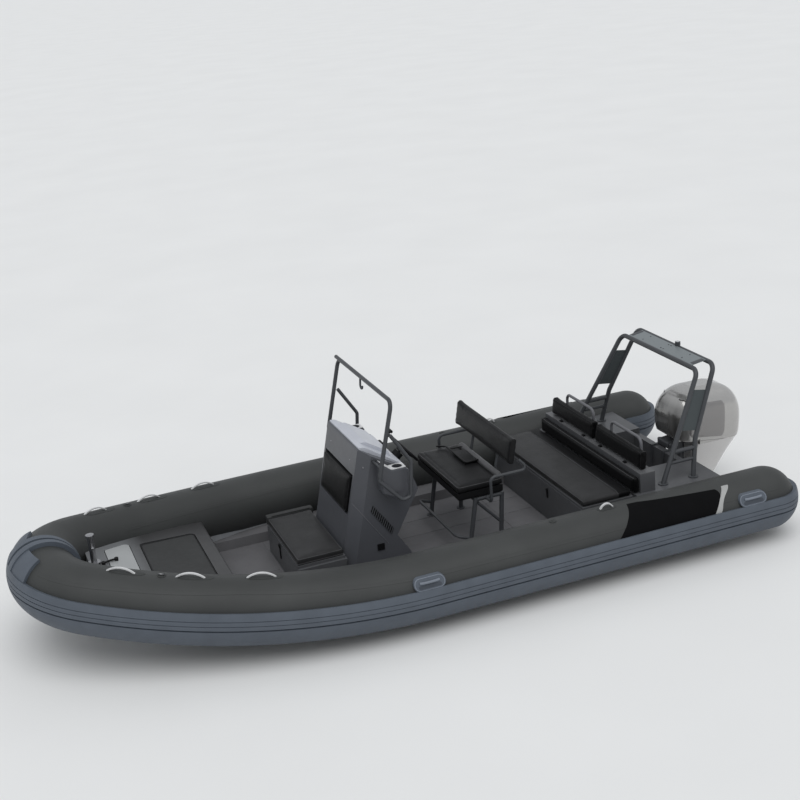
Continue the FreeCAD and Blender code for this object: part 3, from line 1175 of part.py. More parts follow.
def make_cowl():
    """Cowl lofted through plan outlines, cut to its chin, its skirt and the room for the engine block."""
    low = COWL_BOTTOM_Z - COWL_SKIRT_DROP
    wires = []
    for rise, fwd, rear, half, front_radius, rear_radius in COWL_OUTLINES:
        wires.append(plan_outline(STEER_X + fwd, STEER_X - rear, half, front_radius, rear_radius, low + rise))
    cowl = Part.makeLoft(wires, True, False)
    skirt_x = STEER_X - STEER_COLUMN_RADIUS - COLUMN_GAP - 18 - SEAT_GAP
    chin = side_profile([(skirt_x, low - 1), (STEER_X + 400, low - 1), (STEER_X + 400, COWL_BOTTOM_Z + 130),
                         (STEER_X + 70, COWL_BOTTOM_Z), (skirt_x, COWL_BOTTOM_Z)], -400, 400)
    cowl = cowl.cut(chin)
    x0, x1, z0, z1 = STEER_X - 360, STEER_X + 60, COWL_BOTTOM_Z, COWL_BOTTOM_Z + 348
    block = box(x0, x1, -150, 150, z0, z1)
    cavity = box(x0 - 6, x1 + 6, -156, 156, z0 - 1, z1 + 6)
    return {"engine_cowl": cowl.cut(cavity), "engine_block": block}


def make_tube_fittings():
    """White grab handles on the tube tops, oval carrying handles, valves and side panels."""
    parts = {}
    handles = []
    for x in (2395, 1925, 1430):
        handles.append(arc_handle(x, 120, 42))
    handles.append(arc_handle(-1380, 62, 42))
    parts["grab_handles"] = Part.makeCompound(handles + [mirrored(h) for h in handles])
    ovals = []
    for x in (255, -2598):
        ovals.append(oval_handle(x, 30, 255))
    parts["carry_handles"] = Part.makeCompound(ovals + [mirrored(o) for o in ovals])
    valves = []
    for x in (2155, -900):
        axis, _ = PATH.at_x(x)
        valves.append(flush(Part.makeCylinder(24, 12, axis + V(0, 0, TUBE_RADIUS))))
    parts["valves"] = Part.makeCompound(valves + [mirrored(v) for v in valves])
    parts["side_panels"] = both_sides(side_panel())
    return parts


def side_panel():
    """Dark panel on the tube's outer side down to the strake, with a curved aft end."""
    inner = TUBE_RADIUS + SEAT_GAP
    x0, x1 = -2420, -1300
    shell = ring_sector(inner, inner + 4, STRAKE_TOP_ANGLE + 0.3, 84, x0).extrude(V(x1 - x0, 0, 0))
    z = TUBE_AXIS_Z
    outline = [(-1348, z + 60), (-1548, z + 252, 30), (-2382, z + 226, 25), (-2316, z + 174, 90), (-2262, z + 110, 120),
               (-2224, z + 60)]
    return shell.common(side_profile(outline, 0, TUBE_SPACING + 400))


def flush(shape):
    return shape.cut(FITTING_CUTTER)


def arc_handle(x, reach, rise):
    """Flat bar that arches over the tube's top, with its two pads."""
    axis, heading = PATH.at_x(x)
    flat = V(heading.x, heading.y, 0).normalize()
    across = V(-flat.y, flat.x, 0)
    slope = heading.z / math.hypot(heading.x, heading.y)
    top = V(axis.x, axis.y, axis.z + TUBE_RADIUS)

    def point(along, lift):
        return top + flat * along + V(0, 0, along * slope + lift)

    side = across * 9
    corners = [point(-reach, -6) - side, point(-reach + 13, -6) - side, point(reach - 13, -6) - side,
               point(reach, -6) - side]
    edges = [Part.LineSegment(corners[0], corners[1]).toShape(),
             Part.Arc(corners[1], point(0, rise - 9) - side, corners[2]).toShape(),
             Part.LineSegment(corners[2], corners[3]).toShape(),
             Part.Arc(corners[3], point(0, rise) - side, corners[0]).toShape()]
    bar = Part.Face(Part.Wire(edges)).extrude(side * 2)
    return max(flush(bar).Solids, key=lambda s: s.Volume)


def oval_handle(x, angle, length):
    """Raised carrying handle with round ends on the tube's outer side."""
    inner = TUBE_RADIUS + 2 * SEAT_GAP
    pad = ring_sector(inner, inner + 20, STRAKE_TOP_ANGLE + 0.5, angle + 40, x - length / 2)
    pad = pad.extrude(V(length, 0, 0))
    middle = ring_point(inner, angle)
    end = 48
    outline = [(x - length / 2, middle.z - end, end), (x + length / 2, middle.z - end, end),
               (x + length / 2, middle.z + end, end), (x - length / 2, middle.z + end, end)]
    return pad.common(side_profile(outline, 0, TUBE_SPACING + 400))


def make_parts():
    parts = {}
    for build in (make_tubes, make_strakes, make_bow_guard, make_hull, make_deck, make_bow_locker,
                  make_tow_eyes, make_mooring_post, make_front_seat, make_console, make_pods, make_dash, make_screen_hoop,
                  make_wheel, make_throttle, make_louvres, make_helm_seat, make_helm_frame, make_bench,
                  make_bench_back, make_stern, make_arch, make_engine_mount, make_tilt_ram, make_midsection,
                  make_gearcase, make_propeller, make_cowl, make_tube_fittings):
        parts.update(build())
    return parts


def main():
    os.makedirs("parts", exist_ok=True)
    for name, shape in make_parts().items():
        print(name, len(shape.Solids), round(shape.Volume / 1e6, 2), shape.isValid())
        shape.exportStep(os.path.join("parts", name + ".step"))


main()
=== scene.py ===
import json
import math

import bmesh
import bpy
from mathutils import Matrix, Vector


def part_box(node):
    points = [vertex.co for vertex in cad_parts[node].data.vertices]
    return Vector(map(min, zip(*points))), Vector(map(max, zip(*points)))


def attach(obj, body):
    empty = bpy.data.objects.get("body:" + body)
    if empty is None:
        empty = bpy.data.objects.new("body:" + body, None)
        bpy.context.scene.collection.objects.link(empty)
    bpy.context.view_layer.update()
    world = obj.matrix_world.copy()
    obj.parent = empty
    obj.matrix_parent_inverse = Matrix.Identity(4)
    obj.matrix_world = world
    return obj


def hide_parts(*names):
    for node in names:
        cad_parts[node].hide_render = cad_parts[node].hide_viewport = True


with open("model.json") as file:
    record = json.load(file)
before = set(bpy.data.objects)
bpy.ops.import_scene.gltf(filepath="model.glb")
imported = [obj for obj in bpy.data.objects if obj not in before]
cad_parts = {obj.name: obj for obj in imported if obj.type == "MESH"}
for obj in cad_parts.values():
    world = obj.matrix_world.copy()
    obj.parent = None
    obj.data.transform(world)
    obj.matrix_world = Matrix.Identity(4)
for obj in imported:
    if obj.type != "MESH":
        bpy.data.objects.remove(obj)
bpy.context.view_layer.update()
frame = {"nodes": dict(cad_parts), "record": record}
NODES = frame["nodes"]
SCENE = bpy.context.scene

# The photograph's camera: focal length and frame in millimetres, place, aim, and roll in degrees
LENS = 59.28
FRAME_WIDTH = 36
FAR_CLIP = 4000
CAMERA_AT = Vector((3.261, 9.612, 5.094))
CAMERA_AIM = Vector((-0.3120, -0.8877, -0.3386)).normalized()
CAMERA_ROLL = -5.155

# Sky, sun and floor: the sun's spread in degrees, its travel as a direction
SKY_COLOUR = (0.93, 0.96, 1.0)
SKY_STRENGTH = 0.62
SUN_POWER = 1.25
SUN_SPREAD = 55
SUN_TRAVEL = Vector((-0.08, -0.42, -1.0))
FLOOR_HALF = 1500

# Reflection of materials that name none, and the angle from which an edge is sharp
SPECULAR = 0.25
SHARP_ANGLE = 38

# Colours, linear
TUBE = (0.047, 0.049, 0.048)
# Patches and valve caps; under the grab handles this darker colour is partly painted shadow of the handles
PATCH_AND_SHADOW = (0.040, 0.042, 0.041)
STRAKE = (0.095, 0.110, 0.132)
HANDLE = (0.185, 0.205, 0.240)
# Painted shade: darker rubber for the flat sheet in each handle's finger recess
STRAKE_RECESS_SHADE = (0.060, 0.068, 0.082)
DECK = (0.088, 0.090, 0.095)
CONSOLE = (0.086, 0.089, 0.099)
BOW_DARK = (0.044, 0.044, 0.045)
BOW_PALE = (0.150, 0.155, 0.160)
LEDGE = (0.105, 0.106, 0.110)
SOLE = (0.125, 0.124, 0.129)
PALE = (0.345, 0.355, 0.355)
DASH = (0.50, 0.515, 0.56)
DARK_LID = (0.036, 0.037, 0.037)
VINYL = (0.0075, 0.0075, 0.008)
DEEP_VINYL = (0.003, 0.003, 0.0034)
SEAT_VINYL = (0.024, 0.024, 0.0245)
# Piping: partly its own lighter colour, partly a painted highlight along the cushions' edges
WELT_AND_HIGHLIGHT = (0.060, 0.060, 0.062)
GREY_VINYL = (0.085, 0.085, 0.088)
DARK_FRAME = (0.060, 0.063, 0.068)
ARCH_PLATE = (0.060, 0.070, 0.073)
ARCH_TOP = (0.185, 0.205, 0.212)
PALE_RAIL = (0.13, 0.13, 0.14)
BLACK = (0.005, 0.005, 0.0055)
WHITE = (0.62, 0.62, 0.62)
LENS_COLOUR = (0.45, 0.46, 0.47)
SILVER = (0.42, 0.42, 0.41)
STEEL = (0.42, 0.42, 0.43)
COWL = (0.46, 0.45, 0.435)
# Painted dark reflection on the cowl's front, not the paint's own colour
COWL_FRONT_REFLECTION = (0.11, 0.108, 0.104)
COWL_PANEL = (0.27, 0.26, 0.255)
LEG = (0.68, 0.665, 0.655)
HULL = (0.30, 0.31, 0.325)
FLOOR = (0.80, 0.80, 0.79)

# Fades: the bow moulding is paler at its hatch, the bench back on its ledge, the arch on its top plate
BOW_FADE = ("X", 2.08, 2.26, BOW_PALE)
BENCH_FADE = ("Z", 0.655, 0.670, LEDGE)
ARCH_FADE = ("Z", 1.345, 1.362, ARCH_TOP)


# Materials

class Nodes:
    """Short names for building a material's node tree."""

    def __init__(self, name, colour, roughness, metallic=0.0, **inputs):
        self.mat = bpy.data.materials.new(name)
        self.mat.use_nodes = True
        self.tree = self.mat.node_tree
        self.bsdf = self.tree.nodes["Principled BSDF"]
        self.bsdf.inputs["Base Color"].default_value = (*colour, 1)
        self.bsdf.inputs["Roughness"].default_value = roughness
        self.bsdf.inputs["Metallic"].default_value = metallic
        self.bsdf.inputs["Specular IOR Level"].default_value = SPECULAR
        for key, value in inputs.items():
            self.bsdf.inputs[key.replace("_", " ")].default_value = value
        self.colour = colour
        self.coords = self.new("ShaderNodeTexCoord").outputs["Object"]
        self.normal = None

    def new(self, kind, **values):
        node = self.tree.nodes.new(kind)
        for key, value in values.items():
            if key in node.inputs:
                node.inputs[key].default_value = value
            else:
                setattr(node, key, value)
        return node

    def link(self, a, b):
        self.tree.links.new(a, b)

    def noise(self, scale, detail, stretch=(1, 1, 1)):
        mapping = self.new("ShaderNodeMapping")
        mapping.inputs["Scale"].default_value = stretch
        self.link(self.coords, mapping.inputs["Vector"])
        noise = self.new("ShaderNodeTexNoise", Scale=scale, Detail=detail)
        self.link(mapping.outputs["Vector"], noise.inputs["Vector"])
        return noise.outputs["Fac"]

    def cells(self, scale):
        cells = self.new("ShaderNodeTexVoronoi", Scale=scale)
        self.link(self.coords, cells.inputs["Vector"])
        return cells.outputs["Distance"]

    def wave(self, scale, axis):
        wave = self.new("ShaderNodeTexWave", Scale=scale, bands_direction=axis)
        self.link(self.coords, wave.inputs["Vector"])
        return wave.outputs["Fac"]

    def ramp(self, fac, low, high, a=0.0, b=1.0):
        node = self.new("ShaderNodeMapRange")
        node.inputs["From Min"].default_value = low
        node.inputs["From Max"].default_value = high
        node.inputs["To Min"].default_value = a
        node.inputs["To Max"].default_value = b
        self.link(fac, node.inputs["Value"])
        return node.outputs["Result"]

    def math(self, operation, a, b):
        node = self.new("ShaderNodeMath", operation=operation)
        for value, socket in ((a, node.inputs[0]), (b, node.inputs[1])):
            if isinstance(value, (int, float)):
                socket.default_value = value
            else:
                self.link(value, socket)
        return node.outputs["Value"]

    def mix(self, fac, a, b):
        node = self.new("ShaderNodeMix", data_type="RGBA")
        for value, socket in ((fac, node.inputs[0]), (a, node.inputs[6]), (b, node.inputs[7])):
            if isinstance(value, (int, float)):
                socket.default_value = value
            elif isinstance(value, tuple):
                socket.default_value = (*value, 1)
            else:
                self.link(value, socket)
        return node.outputs[2]

    def mottle(self, scale, detail, amount, low=0.3, high=0.7):
        """Lets the colour wander a little lighter and darker in soft patches."""
        patches = self.ramp(self.noise(scale, detail), low, high)
        dark = tuple(c * (1 - amount) for c in self.colour)
        light = tuple(min(1, c * (1 + amount)) for c in self.colour)
        self.link(self.mix(patches, dark, light), self.bsdf.inputs["Base Color"])

    def place(self, axis, low, high):
        """0 to 1 between two places on an axis of the boat."""
        split = self.new("ShaderNodeSeparateXYZ")
        self.link(self.coords, split.inputs["Vector"])
        return self.ramp(split.outputs[axis], low, high)

    def fade(self, axis, low, high, other):
        """Turns the colour into another between two places."""
        base = self.bsdf.inputs["Base Color"].links[0].from_socket
        self.link(self.mix(self.place(axis, low, high), base, other), self.bsdf.inputs["Base Color"])

    def rough(self, fac, low, high):
        self.link(self.ramp(fac, 0, 1, low, high), self.bsdf.inputs["Roughness"])

    def bump(self, fac, strength, distance):
        node = self.new("ShaderNodeBump", Strength=strength, Distance=distance)
        self.link(fac, node.inputs["Height"])
        if self.normal is not None:
            self.link(self.normal, node.inputs["Normal"])
        self.normal = node.outputs["Normal"]
        self.link(self.normal, self.bsdf.inputs["Normal"])


def tube_fabric():
    n = Nodes("tube_fabric", TUBE, 0.5)
    n.mottle(1.6, 3, 0.10, 0.35, 0.65)
    n.rough(n.noise(9, 3), 0.42, 0.58)
    n.bump(n.noise(3.0, 2), 0.18, 0.012)
    weave = n.math("MULTIPLY", n.wave(700, "X"), n.wave(700, "Z"))
    n.bump(weave, 0.25, 0.0006)
    return n.mat


def moulded_rubber(name="strake_rubber", colour=STRAKE):
    n = Nodes(name, colour, 0.55)
    n.mottle(7, 4, 0.08)
    n.rough(n.noise(30, 3), 0.46, 0.62)
    n.bump(n.noise(420, 2), 0.3, 0.0006)
    return n.mat


def gelcoat(name, colour, roughness=0.32, patches=(2.5, 3, 0.06), fade=None):
    """Moulded skin. A fade is an axis, two places on it and the colour from there on."""
    n = Nodes(name, colour, roughness, Coat_Weight=0.05)
    n.mottle(*patches)
    if fade:
        n.fade(*fade)
    n.rough(n.noise(18, 3), roughness - 0.06, roughness + 0.1)
    n.bump(n.noise(90, 2), 0.12, 0.0006)
    return n.mat


def non_slip(name, colour):
    """Gelcoat with the moulded grain that stops feet slipping."""
    n = Nodes(name, colour, 0.55)
    n.mottle(3.5, 4, 0.09)
    n.rough(n.noise(22, 3), 0.5, 0.68)
    n.bump(n.ramp(n.cells(130), 0.0, 0.5), 0.5, 0.0012)
    return n.mat


def vinyl(name="black_vinyl", colour=VINYL, specular=0.16):
    n = Nodes(name, colour, 0.42, Sheen_Weight=0.02, Sheen_Roughness=0.5, Specular_IOR_Level=specular)
    n.mottle(6, 4, 0.16)
    n.rough(n.noise(14, 3), 0.34, 0.5)
    n.bump(n.noise(16, 2), 0.16, 0.004)
    n.bump(n.ramp(n.cells(420), 0.0, 0.55), 0.35, 0.0007)
    return n.mat


def powder_coat(name="dark_powder_coat", colour=DARK_FRAME, fade=None):
    n = Nodes(name, colour, 0.38)
    n.mottle(5, 3, 0.08)
    if fade:
        n.fade(*fade)
    n.rough(n.noise(60, 3), 0.3, 0.46)
    n.bump(n.noise(500, 2), 0.25, 0.0004)
    return n.mat


def brushed_steel():
    n = Nodes("brushed_steel", STEEL, 0.3, 1.0)
    n.mottle(40, 3, 0.1)
    n.rough(n.noise(60, 4, (1, 1, 14)), 0.2, 0.42)
    n.bump(n.noise(300, 2, (1, 1, 20)), 0.12, 0.0003)
    return n.mat


def plastic(name, colour, roughness=0.45, specular=SPECULAR):
    n = Nodes(name, colour, roughness, Specular_IOR_Level=specular)
    n.mottle(9, 3, 0.08)
    n.rough(n.noise(40, 3), roughness - 0.07, roughness + 0.1)
    n.bump(n.noise(650, 2), 0.22, 0.0004)
    return n.mat


def metallic_paint(name, colour, flake=0.5):
    n = Nodes(name, colour, 0.3, flake, Coat_Weight=0.5, Coat_Roughness=0.06)
    n.mottle(900, 2, 0.12)
    n.rough(n.noise(12, 3), 0.18, 0.3)
    n.bump(n.noise(5, 2), 0.05, 0.004)
    return n.mat


def cowl_paint_and_reflection():
    """Silver paint, with a painted dark reflection and a lighter painted reflection streak on the cowl's
    front.
    """
    n = Nodes("cowl_paint_and_reflection", COWL, 0.22, 0.65, Coat_Weight=0.7, Coat_Roughness=0.04)
    n.mottle(900, 2, 0.12)
    # The streak and the dark front are painted reflections
    reflection_streak = n.ramp(n.noise(3.0, 3, (1, 1.6, 0.5)), 0.42, 0.6)
    front = n.math("MULTIPLY", n.place("X", -2.76, -2.63), n.place("Z", 0.93, 0.86))
    light = n.bsdf.inputs["Base Color"].links[0].from_socket
    dark = n.mix(reflection_streak, COWL_FRONT_REFLECTION, tuple(c * 2.4 for c in COWL_FRONT_REFLECTION))
    n.link(n.mix(front, light, dark), n.bsdf.inputs["Base Color"])
    n.rough(n.noise(12, 3), 0.14, 0.26)
    n.bump(n.noise(5, 2), 0.05, 0.004)
    return n.mat


def floor_material():
    n = Nodes("pale_floor", FLOOR, 0.8)
    n.mottle(0.6, 3, 0.015)
    n.bump(n.noise(40, 3), 0.05, 0.001)
    return n.mat


MATERIALS = {
    "tube": tube_fabric(),
    "tube_patch": moulded_rubber("patch_fabric_and_shadow", PATCH_AND_SHADOW),
    "strake": moulded_rubber(),
    "strake_dark": moulded_rubber("recess_shade_rubber", STRAKE_RECESS_SHADE),
    "handle_rubber": moulded_rubber("handle_rubber", HANDLE),
    "hull": gelcoat("hull_gelcoat", HULL, 0.25),
    "deck": gelcoat("deck_gelcoat", DECK),
    "console": gelcoat("console_gelcoat", CONSOLE),
    "bow_deck": gelcoat("bow_gelcoat", BOW_DARK, 0.34, (2.5, 3, 0.07), BOW_FADE),
    "bench_deck": gelcoat("bench_gelcoat", DECK, 0.34, (4, 3, 0.08), BENCH_FADE),
    "non_slip": non_slip("sole_non_slip", SOLE),
    "pale_deck": gelcoat("pale_gelcoat", PALE),
    "dash": gelcoat("dash_gelcoat", DASH),
    "dark_lid": non_slip("dark_lid_grain", DARK_LID),
    "cushion": vinyl(),
    "deep_vinyl": vinyl("deep_vinyl", DEEP_VINYL, 0.09),
    "seat_vinyl": vinyl("seat_vinyl", SEAT_VINYL),
    "welt": vinyl("welt_vinyl_and_highlight", WELT_AND_HIGHLIGHT),
    "grey_vinyl": vinyl("grey_vinyl", GREY_VINYL),
    "dark_frame": powder_coat(),
    "arch_plate": powder_coat("plate_powder_coat", ARCH_PLATE, ARCH_FADE),
    "pale_rail": powder_coat("pale_powder_coat", PALE_RAIL),
    "steel": brushed_steel(),
    "black_plastic": plastic("black_plastic", BLACK),
    "matt_panel": plastic("matt_panel", BLACK, 0.75, 0.05),
    "white_plastic": plastic("white_plastic", WHITE, 0.4),
    "silver": metallic_paint("silver_film", SILVER, 0.35),
    "engine_leg": metallic_paint("leg_paint", LEG, 0.25),
    "cowl": cowl_paint_and_reflection(),
    "cowl_panel": metallic_paint("cowl_panel_paint", COWL_PANEL, 0.5),
    "lens": plastic("lens_plastic", LENS_COLOUR, 0.2),
}
SLOT = {s["node"]: s["material_slot"] for s in frame["record"]["subparts"]}
OVERRIDE = {
    "cockpit_deck": "non_slip",
    "side_panels": "matt_panel",
    "console": "console",
    "cup_pods": "console",
    "bench_back": "bench_deck",
    "bow_locker": "bow_deck",
    "dash": "dash",
    "carry_handles": "strake",
    "bench_clips": "black_plastic",
    "nav_light": "dark_frame",
    "arch_plates": "arch_plate",
    "bench_hoops": "pale_rail",
}


def finish_nodes():
    for name, obj in NODES.items():
        material = MATERIALS[OVERRIDE.get(name, SLOT[name])]
        obj.data.materials.clear()
        obj.data.materials.append(material)


# Points and curves

def smooth(points, steps=6, closed=False):
    """Catmull-Rom curve through points."""
    points = [Vector(p) for p in points]
    count = len(points)
    curve = []
    for i in range(count if closed else count - 1):
        p1, p2 = points[i], points[(i + 1) % count]
        p0 = points[i - 1] if closed or i else p1
        p3 = points[(i + 2) % count] if closed or i < count - 2 else p2
        for step in range(steps):
            t = step / steps
            curve.append(0.5 * (2 * p1 + (p2 - p0) * t + (2 * p0 - 5 * p1 + 4 * p2 - p3) * t ** 2
                                + (3 * p1 - p0 - 3 * p2 + p3) * t ** 3))
    if not closed:
        curve.append(points[-1])
    return curve


def rounded(points, radius, steps=5, closed=False):
    """Polyline with its corners rounded."""
    points = [Vector(p) for p in points]
    count = len(points)
    line = []
    for i, p in enumerate(points):
        if not closed and i in (0, count - 1):
            line.append(p)
            continue
        before, after = points[i - 1] - p, points[(i + 1) % count] - p
        reach = min(radius, before.length / 2, after.length / 2)
        a, b = p + before.normalized() * reach, p + after.normalized() * reach
        for step in range(steps + 1):
            t = step / steps
            line.append(a * (1 - t) ** 2 + p * 2 * t * (1 - t) + b * t ** 2)
    return line


def spread(points, step):
    """Points along a polyline, no further apart than a step."""
    line = []
    for a, b in zip(points, points[1:]):
        parts = max(1, math.ceil((b - a).length / step))
        line += [a.lerp(b, k / parts) for k in range(parts)]
    return line + [points[-1]]


def table(rows, x):
    """Value at x in rows of (x, value), in a straight line between them."""
    for (x0, v0), (x1, v1) in zip(rows, rows[1:]):
        if x <= x1:
            return v0 + (v1 - v0) * (x - x0) / (x1 - x0)
    return rows[-1][1]


class TubeLine:
    """The port tube's skin, by distance along its axis from where the bow curve starts."""

    # Skin radius, then the axis: its height aft, where its bow curve starts, its bow point, the length of
    # the first tangent, and the furthest distance that is looked for
    radius = 0.25
    height = 0.34
    start = Vector((0.19, 1.12, height))
    end = Vector((2.9, 0.0, 0.639))
    reach = 1.306
    longest = 3.14

    def __init__(self):
        span = self.end - self.start
        second = (span.length_squared - 2 * span.x * self.reach) / (2 * (self.reach + self.start.y))
        near = self.start + Vector((self.reach, 0, 0))
        far = self.end + Vector((0, second, 0))
        joint = (near * second + far * self.reach) / (self.reach + second)
        self.arcs = [self.arc(self.start, Vector((1, 0, 0)), joint),
                     self.arc(joint, (far - near).normalized(), self.end)]

    @staticmethod
    def arc(start, heading, end):
        chord = end - start
        half = heading.angle(chord)
        inward = (chord - heading * chord.dot(heading)).normalized()
        radius = chord.length / (2 * math.sin(half))
        return start + inward * radius, heading.cross(inward), 2 * half, radius

    def at(self, distance, angle, lift=0.0, side=1):
        """0 degrees is outboard and 90 is up."""
        r = self.radius + lift
        a = math.radians(angle)
        point = self.start + Vector((min(distance, 0), r * math.cos(a), r * math.sin(a)))
        for centre, axis, turn, radius in self.arcs:
            if distance <= 0:
                break
            step = min(distance / radius, turn)
            point = centre + Matrix.Rotation(step, 3, axis) @ (point - centre)
            distance -= step * radius
        return Vector((point.x, point.y * side, point.z))

    def distance(self, x):
        """Distance along the axis at which it stands at x."""
        if x <= self.start.x:
            return x - self.start.x
        low, high = 0.0, self.longest
        for _ in range(30):
            middle = (low + high) / 2
            if self.at(middle, 0, -self.radius).x < x:
                low = middle
            else:
                high = middle
        return low

    def flank(self, x, z, lift=0.0, side=1):
        """Point on the straight part's outer skin by x and height."""
        r = self.radius + lift
        rise = z - self.start.z
        return Vector((x, side * (self.start.y + math.sqrt(r * r - rise * rise)), z))


TUBE_LINE = TubeLine()


# New pieces

class Shape:
    """Collects small forms into one mesh."""

    def __init__(self):
        self.bm = bmesh.new()

    def block(self, at, size, bevel=0.003, turn=None):
        """Box round its middle, with bevelled edges."""
        matrix = Matrix.Translation(at) @ (turn or Matrix()) @ Matrix.Diagonal((*size, 1))
        made = bmesh.ops.create_cube(self.bm, size=1, matrix=matrix)
        # Each edge once, in an order that doesn't change from run to run
        edges = dict.fromkeys(e for v in made["verts"] for e in v.link_edges)
        bmesh.ops.bevel(self.bm, geom=list(edges), offset=bevel, segments=3, profile=0.5, affect="EDGES")

    def rod(self, points, radius, sides=10, closed=False):
        """Round bar along a line of points."""
        points = [Vector(p) for p in points]
        count = len(points)
        rings, normal = [], None
        for i, p in enumerate(points):
            ahead = points[(i + 1) % count] if closed or i < count - 1 else p
            behind = points[i - 1] if closed or i else p
            heading = (ahead - behind).normalized()
            if normal is None:
                normal = heading.orthogonal()
            normal = (normal - heading * normal.dot(heading)).normalized()
            across = heading.cross(normal)
            ring = []
            for k in range(sides):
                a = 2 * math.pi * k / sides
                ring.append(self.bm.verts.new(p + (normal * math.cos(a) + across * math.sin(a)) * radius))
            rings.append(ring)
        self.skin(rings, closed)

    def lathe(self, profile, at, axis=(0, 0, 1), sides=28):
        """Turned form of (radius, height) rows."""
        turn = Vector((0, 0, 1)).rotation_difference(Vector(axis)).to_matrix()
        rings = []
        for radius, height in profile:
            wide = max(radius, 0.0004)
            ring = []
            for k in range(sides):
                a = 2 * math.pi * k / sides
                local = Vector((wide * math.cos(a), wide * math.sin(a), height))
                ring.append(self.bm.verts.new(Vector(at) + turn @ local))
            rings.append(ring)
        self.skin(rings, False)

    def skin(self, rings, closed):
        """Faces between rings of vertices, with both ends filled where the run isn't closed."""
        pairs = list(zip(rings, rings[1:])) + ([(rings[-1], rings[0])] if closed else [])
        sides = len(rings[0])
        for a, b in pairs:
            for k in range(sides):
                j = (k + 1) % sides
                self.bm.faces.new((a[k], a[j], b[j], b[k]))
        if not closed:
            self.bm.faces.new(list(reversed(rings[0])))
            self.bm.faces.new(rings[-1])

    def slab(self, top, bottom):
        """Closed sheet between two grids of points."""
        upper = [[self.bm.verts.new(p) for p in row] for row in top]
        lower = [[self.bm.verts.new(p) for p in row] for row in bottom]
        rows, columns = len(top), len(top[0])
        for grid, flip in ((upper, False), (lower, True)):
            for i in range(rows - 1):
                for j in range(columns - 1):
                    quad = [grid[i][j], grid[i + 1][j], grid[i + 1][j + 1], grid[i][j + 1]]
                    self.bm.faces.new(quad[::-1] if flip else quad)
        border = [(i, 0) for i in range(rows)]
        border += [(rows - 1, j) for j in range(1, columns)]
        border += [(i, columns - 1) for i in range(rows - 2, -1, -1)]
        border += [(0, j) for j in range(columns - 2, 0, -1)]
        for (i, j), (k, m) in zip(border, border[1:] + border[:1]):
            self.bm.faces.new((upper[i][j], lower[i][j], lower[k][m], upper[k][m]))

    def piece(self, name, body, material, slot=None):
        bmesh.ops.recalc_face_normals(self.bm, faces=self.bm.faces)
        mesh = bpy.data.meshes.new(name)
        self.bm.to_mesh(mesh)
        self.bm.free()
        mesh.shade_smooth()
        mesh.set_sharp_from_angle(angle=math.radians(SHARP_ANGLE))
        obj = bpy.data.objects.new(name, mesh)
        SCENE.collection.objects.link(obj)
        mesh.materials.append(MATERIALS[material])
        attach(obj, body)
        return obj


def tilted(angle, axis="Y"):
    return Matrix.Rotation(math.radians(angle), 4, axis)


def stud(shape, at, axis, radius=0.006):
    """Domed head of a fixing."""
    dome = [(radius, -0.001), (radius, 0.001), (radius * 0.8, 0.0028), (radius * 0.35, 0.0038), (0, 0.004)]
    shape.lathe(dome, at, axis, 14)


def sheet(point, rows, columns, lifts):
    """Two grids for a slab, from point(row, column, lift)."""
    return [[[point(row, column, lift) for column in columns] for row in rows] for lift in lifts]


# Tubes

def make_tube_seams():
    """Lap seams along the tubes, outside and inside, by rows of (distance, angle)."""
    outer = ((-3.06, 36.5), (-1.34, 37), (0.0, 39), (1.43, 53), (2.31, 48.2), (2.86, 42))
    inner = ((-2.9, 143), (0.6, 143), (1.45, 146.5), (2.2, 150))
    half, flat, steps = 3.2, 2.9, 140
    for side, word in ((1, "port"), (-1, "starboard")):
        shape = Shape()
        for rows in (outer, inner):
            first, last = rows[0][0], rows[-1][0]
            grids = []
            for lifts in ((0.0002, 0.0016, 0.0016, 0.0002), (-0.002,) * 4):
                grid = []
                for k in range(steps + 1):
                    s = first + (last - first) * k / steps
                    middle = table(rows, s)
                    angles = (middle - half, middle - flat, middle + flat, middle + half)
                    grid.append([TUBE_LINE.at(s, a, lift, side) for a, lift in zip(angles, lifts)])
                grids.append(grid)
            shape.slab(*grids)
        shape.piece("lap_seams_" + word, "boat", "tube")


# Middles of the grab handles by x, and how far the patch under each reaches fore and aft
HANDLE_PADS = ((2.395, 0.145), (1.925, 0.145), (1.43, 0.145), (-1.38, 0.085))
PAD_HALF_ANGLE = 8.5


def make_handle_pads():
    """Fabric patches with round ends under the grab handles; their darker colour is partly painted shadow of
    the handles.
    """
    shape = Shape()
    for side in (1, -1):
        for x, reach in HANDLE_PADS:
            middle = TUBE_LINE.distance(x)

            def point(t, w, lift):
                half = PAD_HALF_ANGLE * math.sqrt(max(0.04, 1 - abs(t) ** 6))
                return TUBE_LINE.at(middle + reach * t, 90 + half * w, lift, side)

            along = [-1 + k / 6 for k in range(13)]
            shape.slab(*sheet(point, along, (-1, -0.5, 0, 0.5, 1), (0.0016, -0.002)))
    # Darker than the tube: partly the patches' own colour, partly painted shadow of the handles
    shape.piece("handle_pads_and_shadow", "boat", "tube_patch")


# Lifting rings and valves: places by x, the ring's loop, and turned forms of (radius, height) rows
RING_X = 2.155
VALVE_X = -0.9
RING_LOOP = ((-0.021, 0), (0.021, 0), (0.023, 0.012), (0.014, 0.030), (0, 0.036), (-0.014, 0.030),
             (-0.023, 0.012))
RING_BASE = [(0.036, -0.002), (0.036, 0.0015), (0.033, 0.0028), (0, 0.003)]
VALVE_CAP = [(0.030, -0.002), (0.030, 0.003), (0.026, 0.006), (0.012, 0.0065), (0.011, 0.010), (0, 0.0105)]


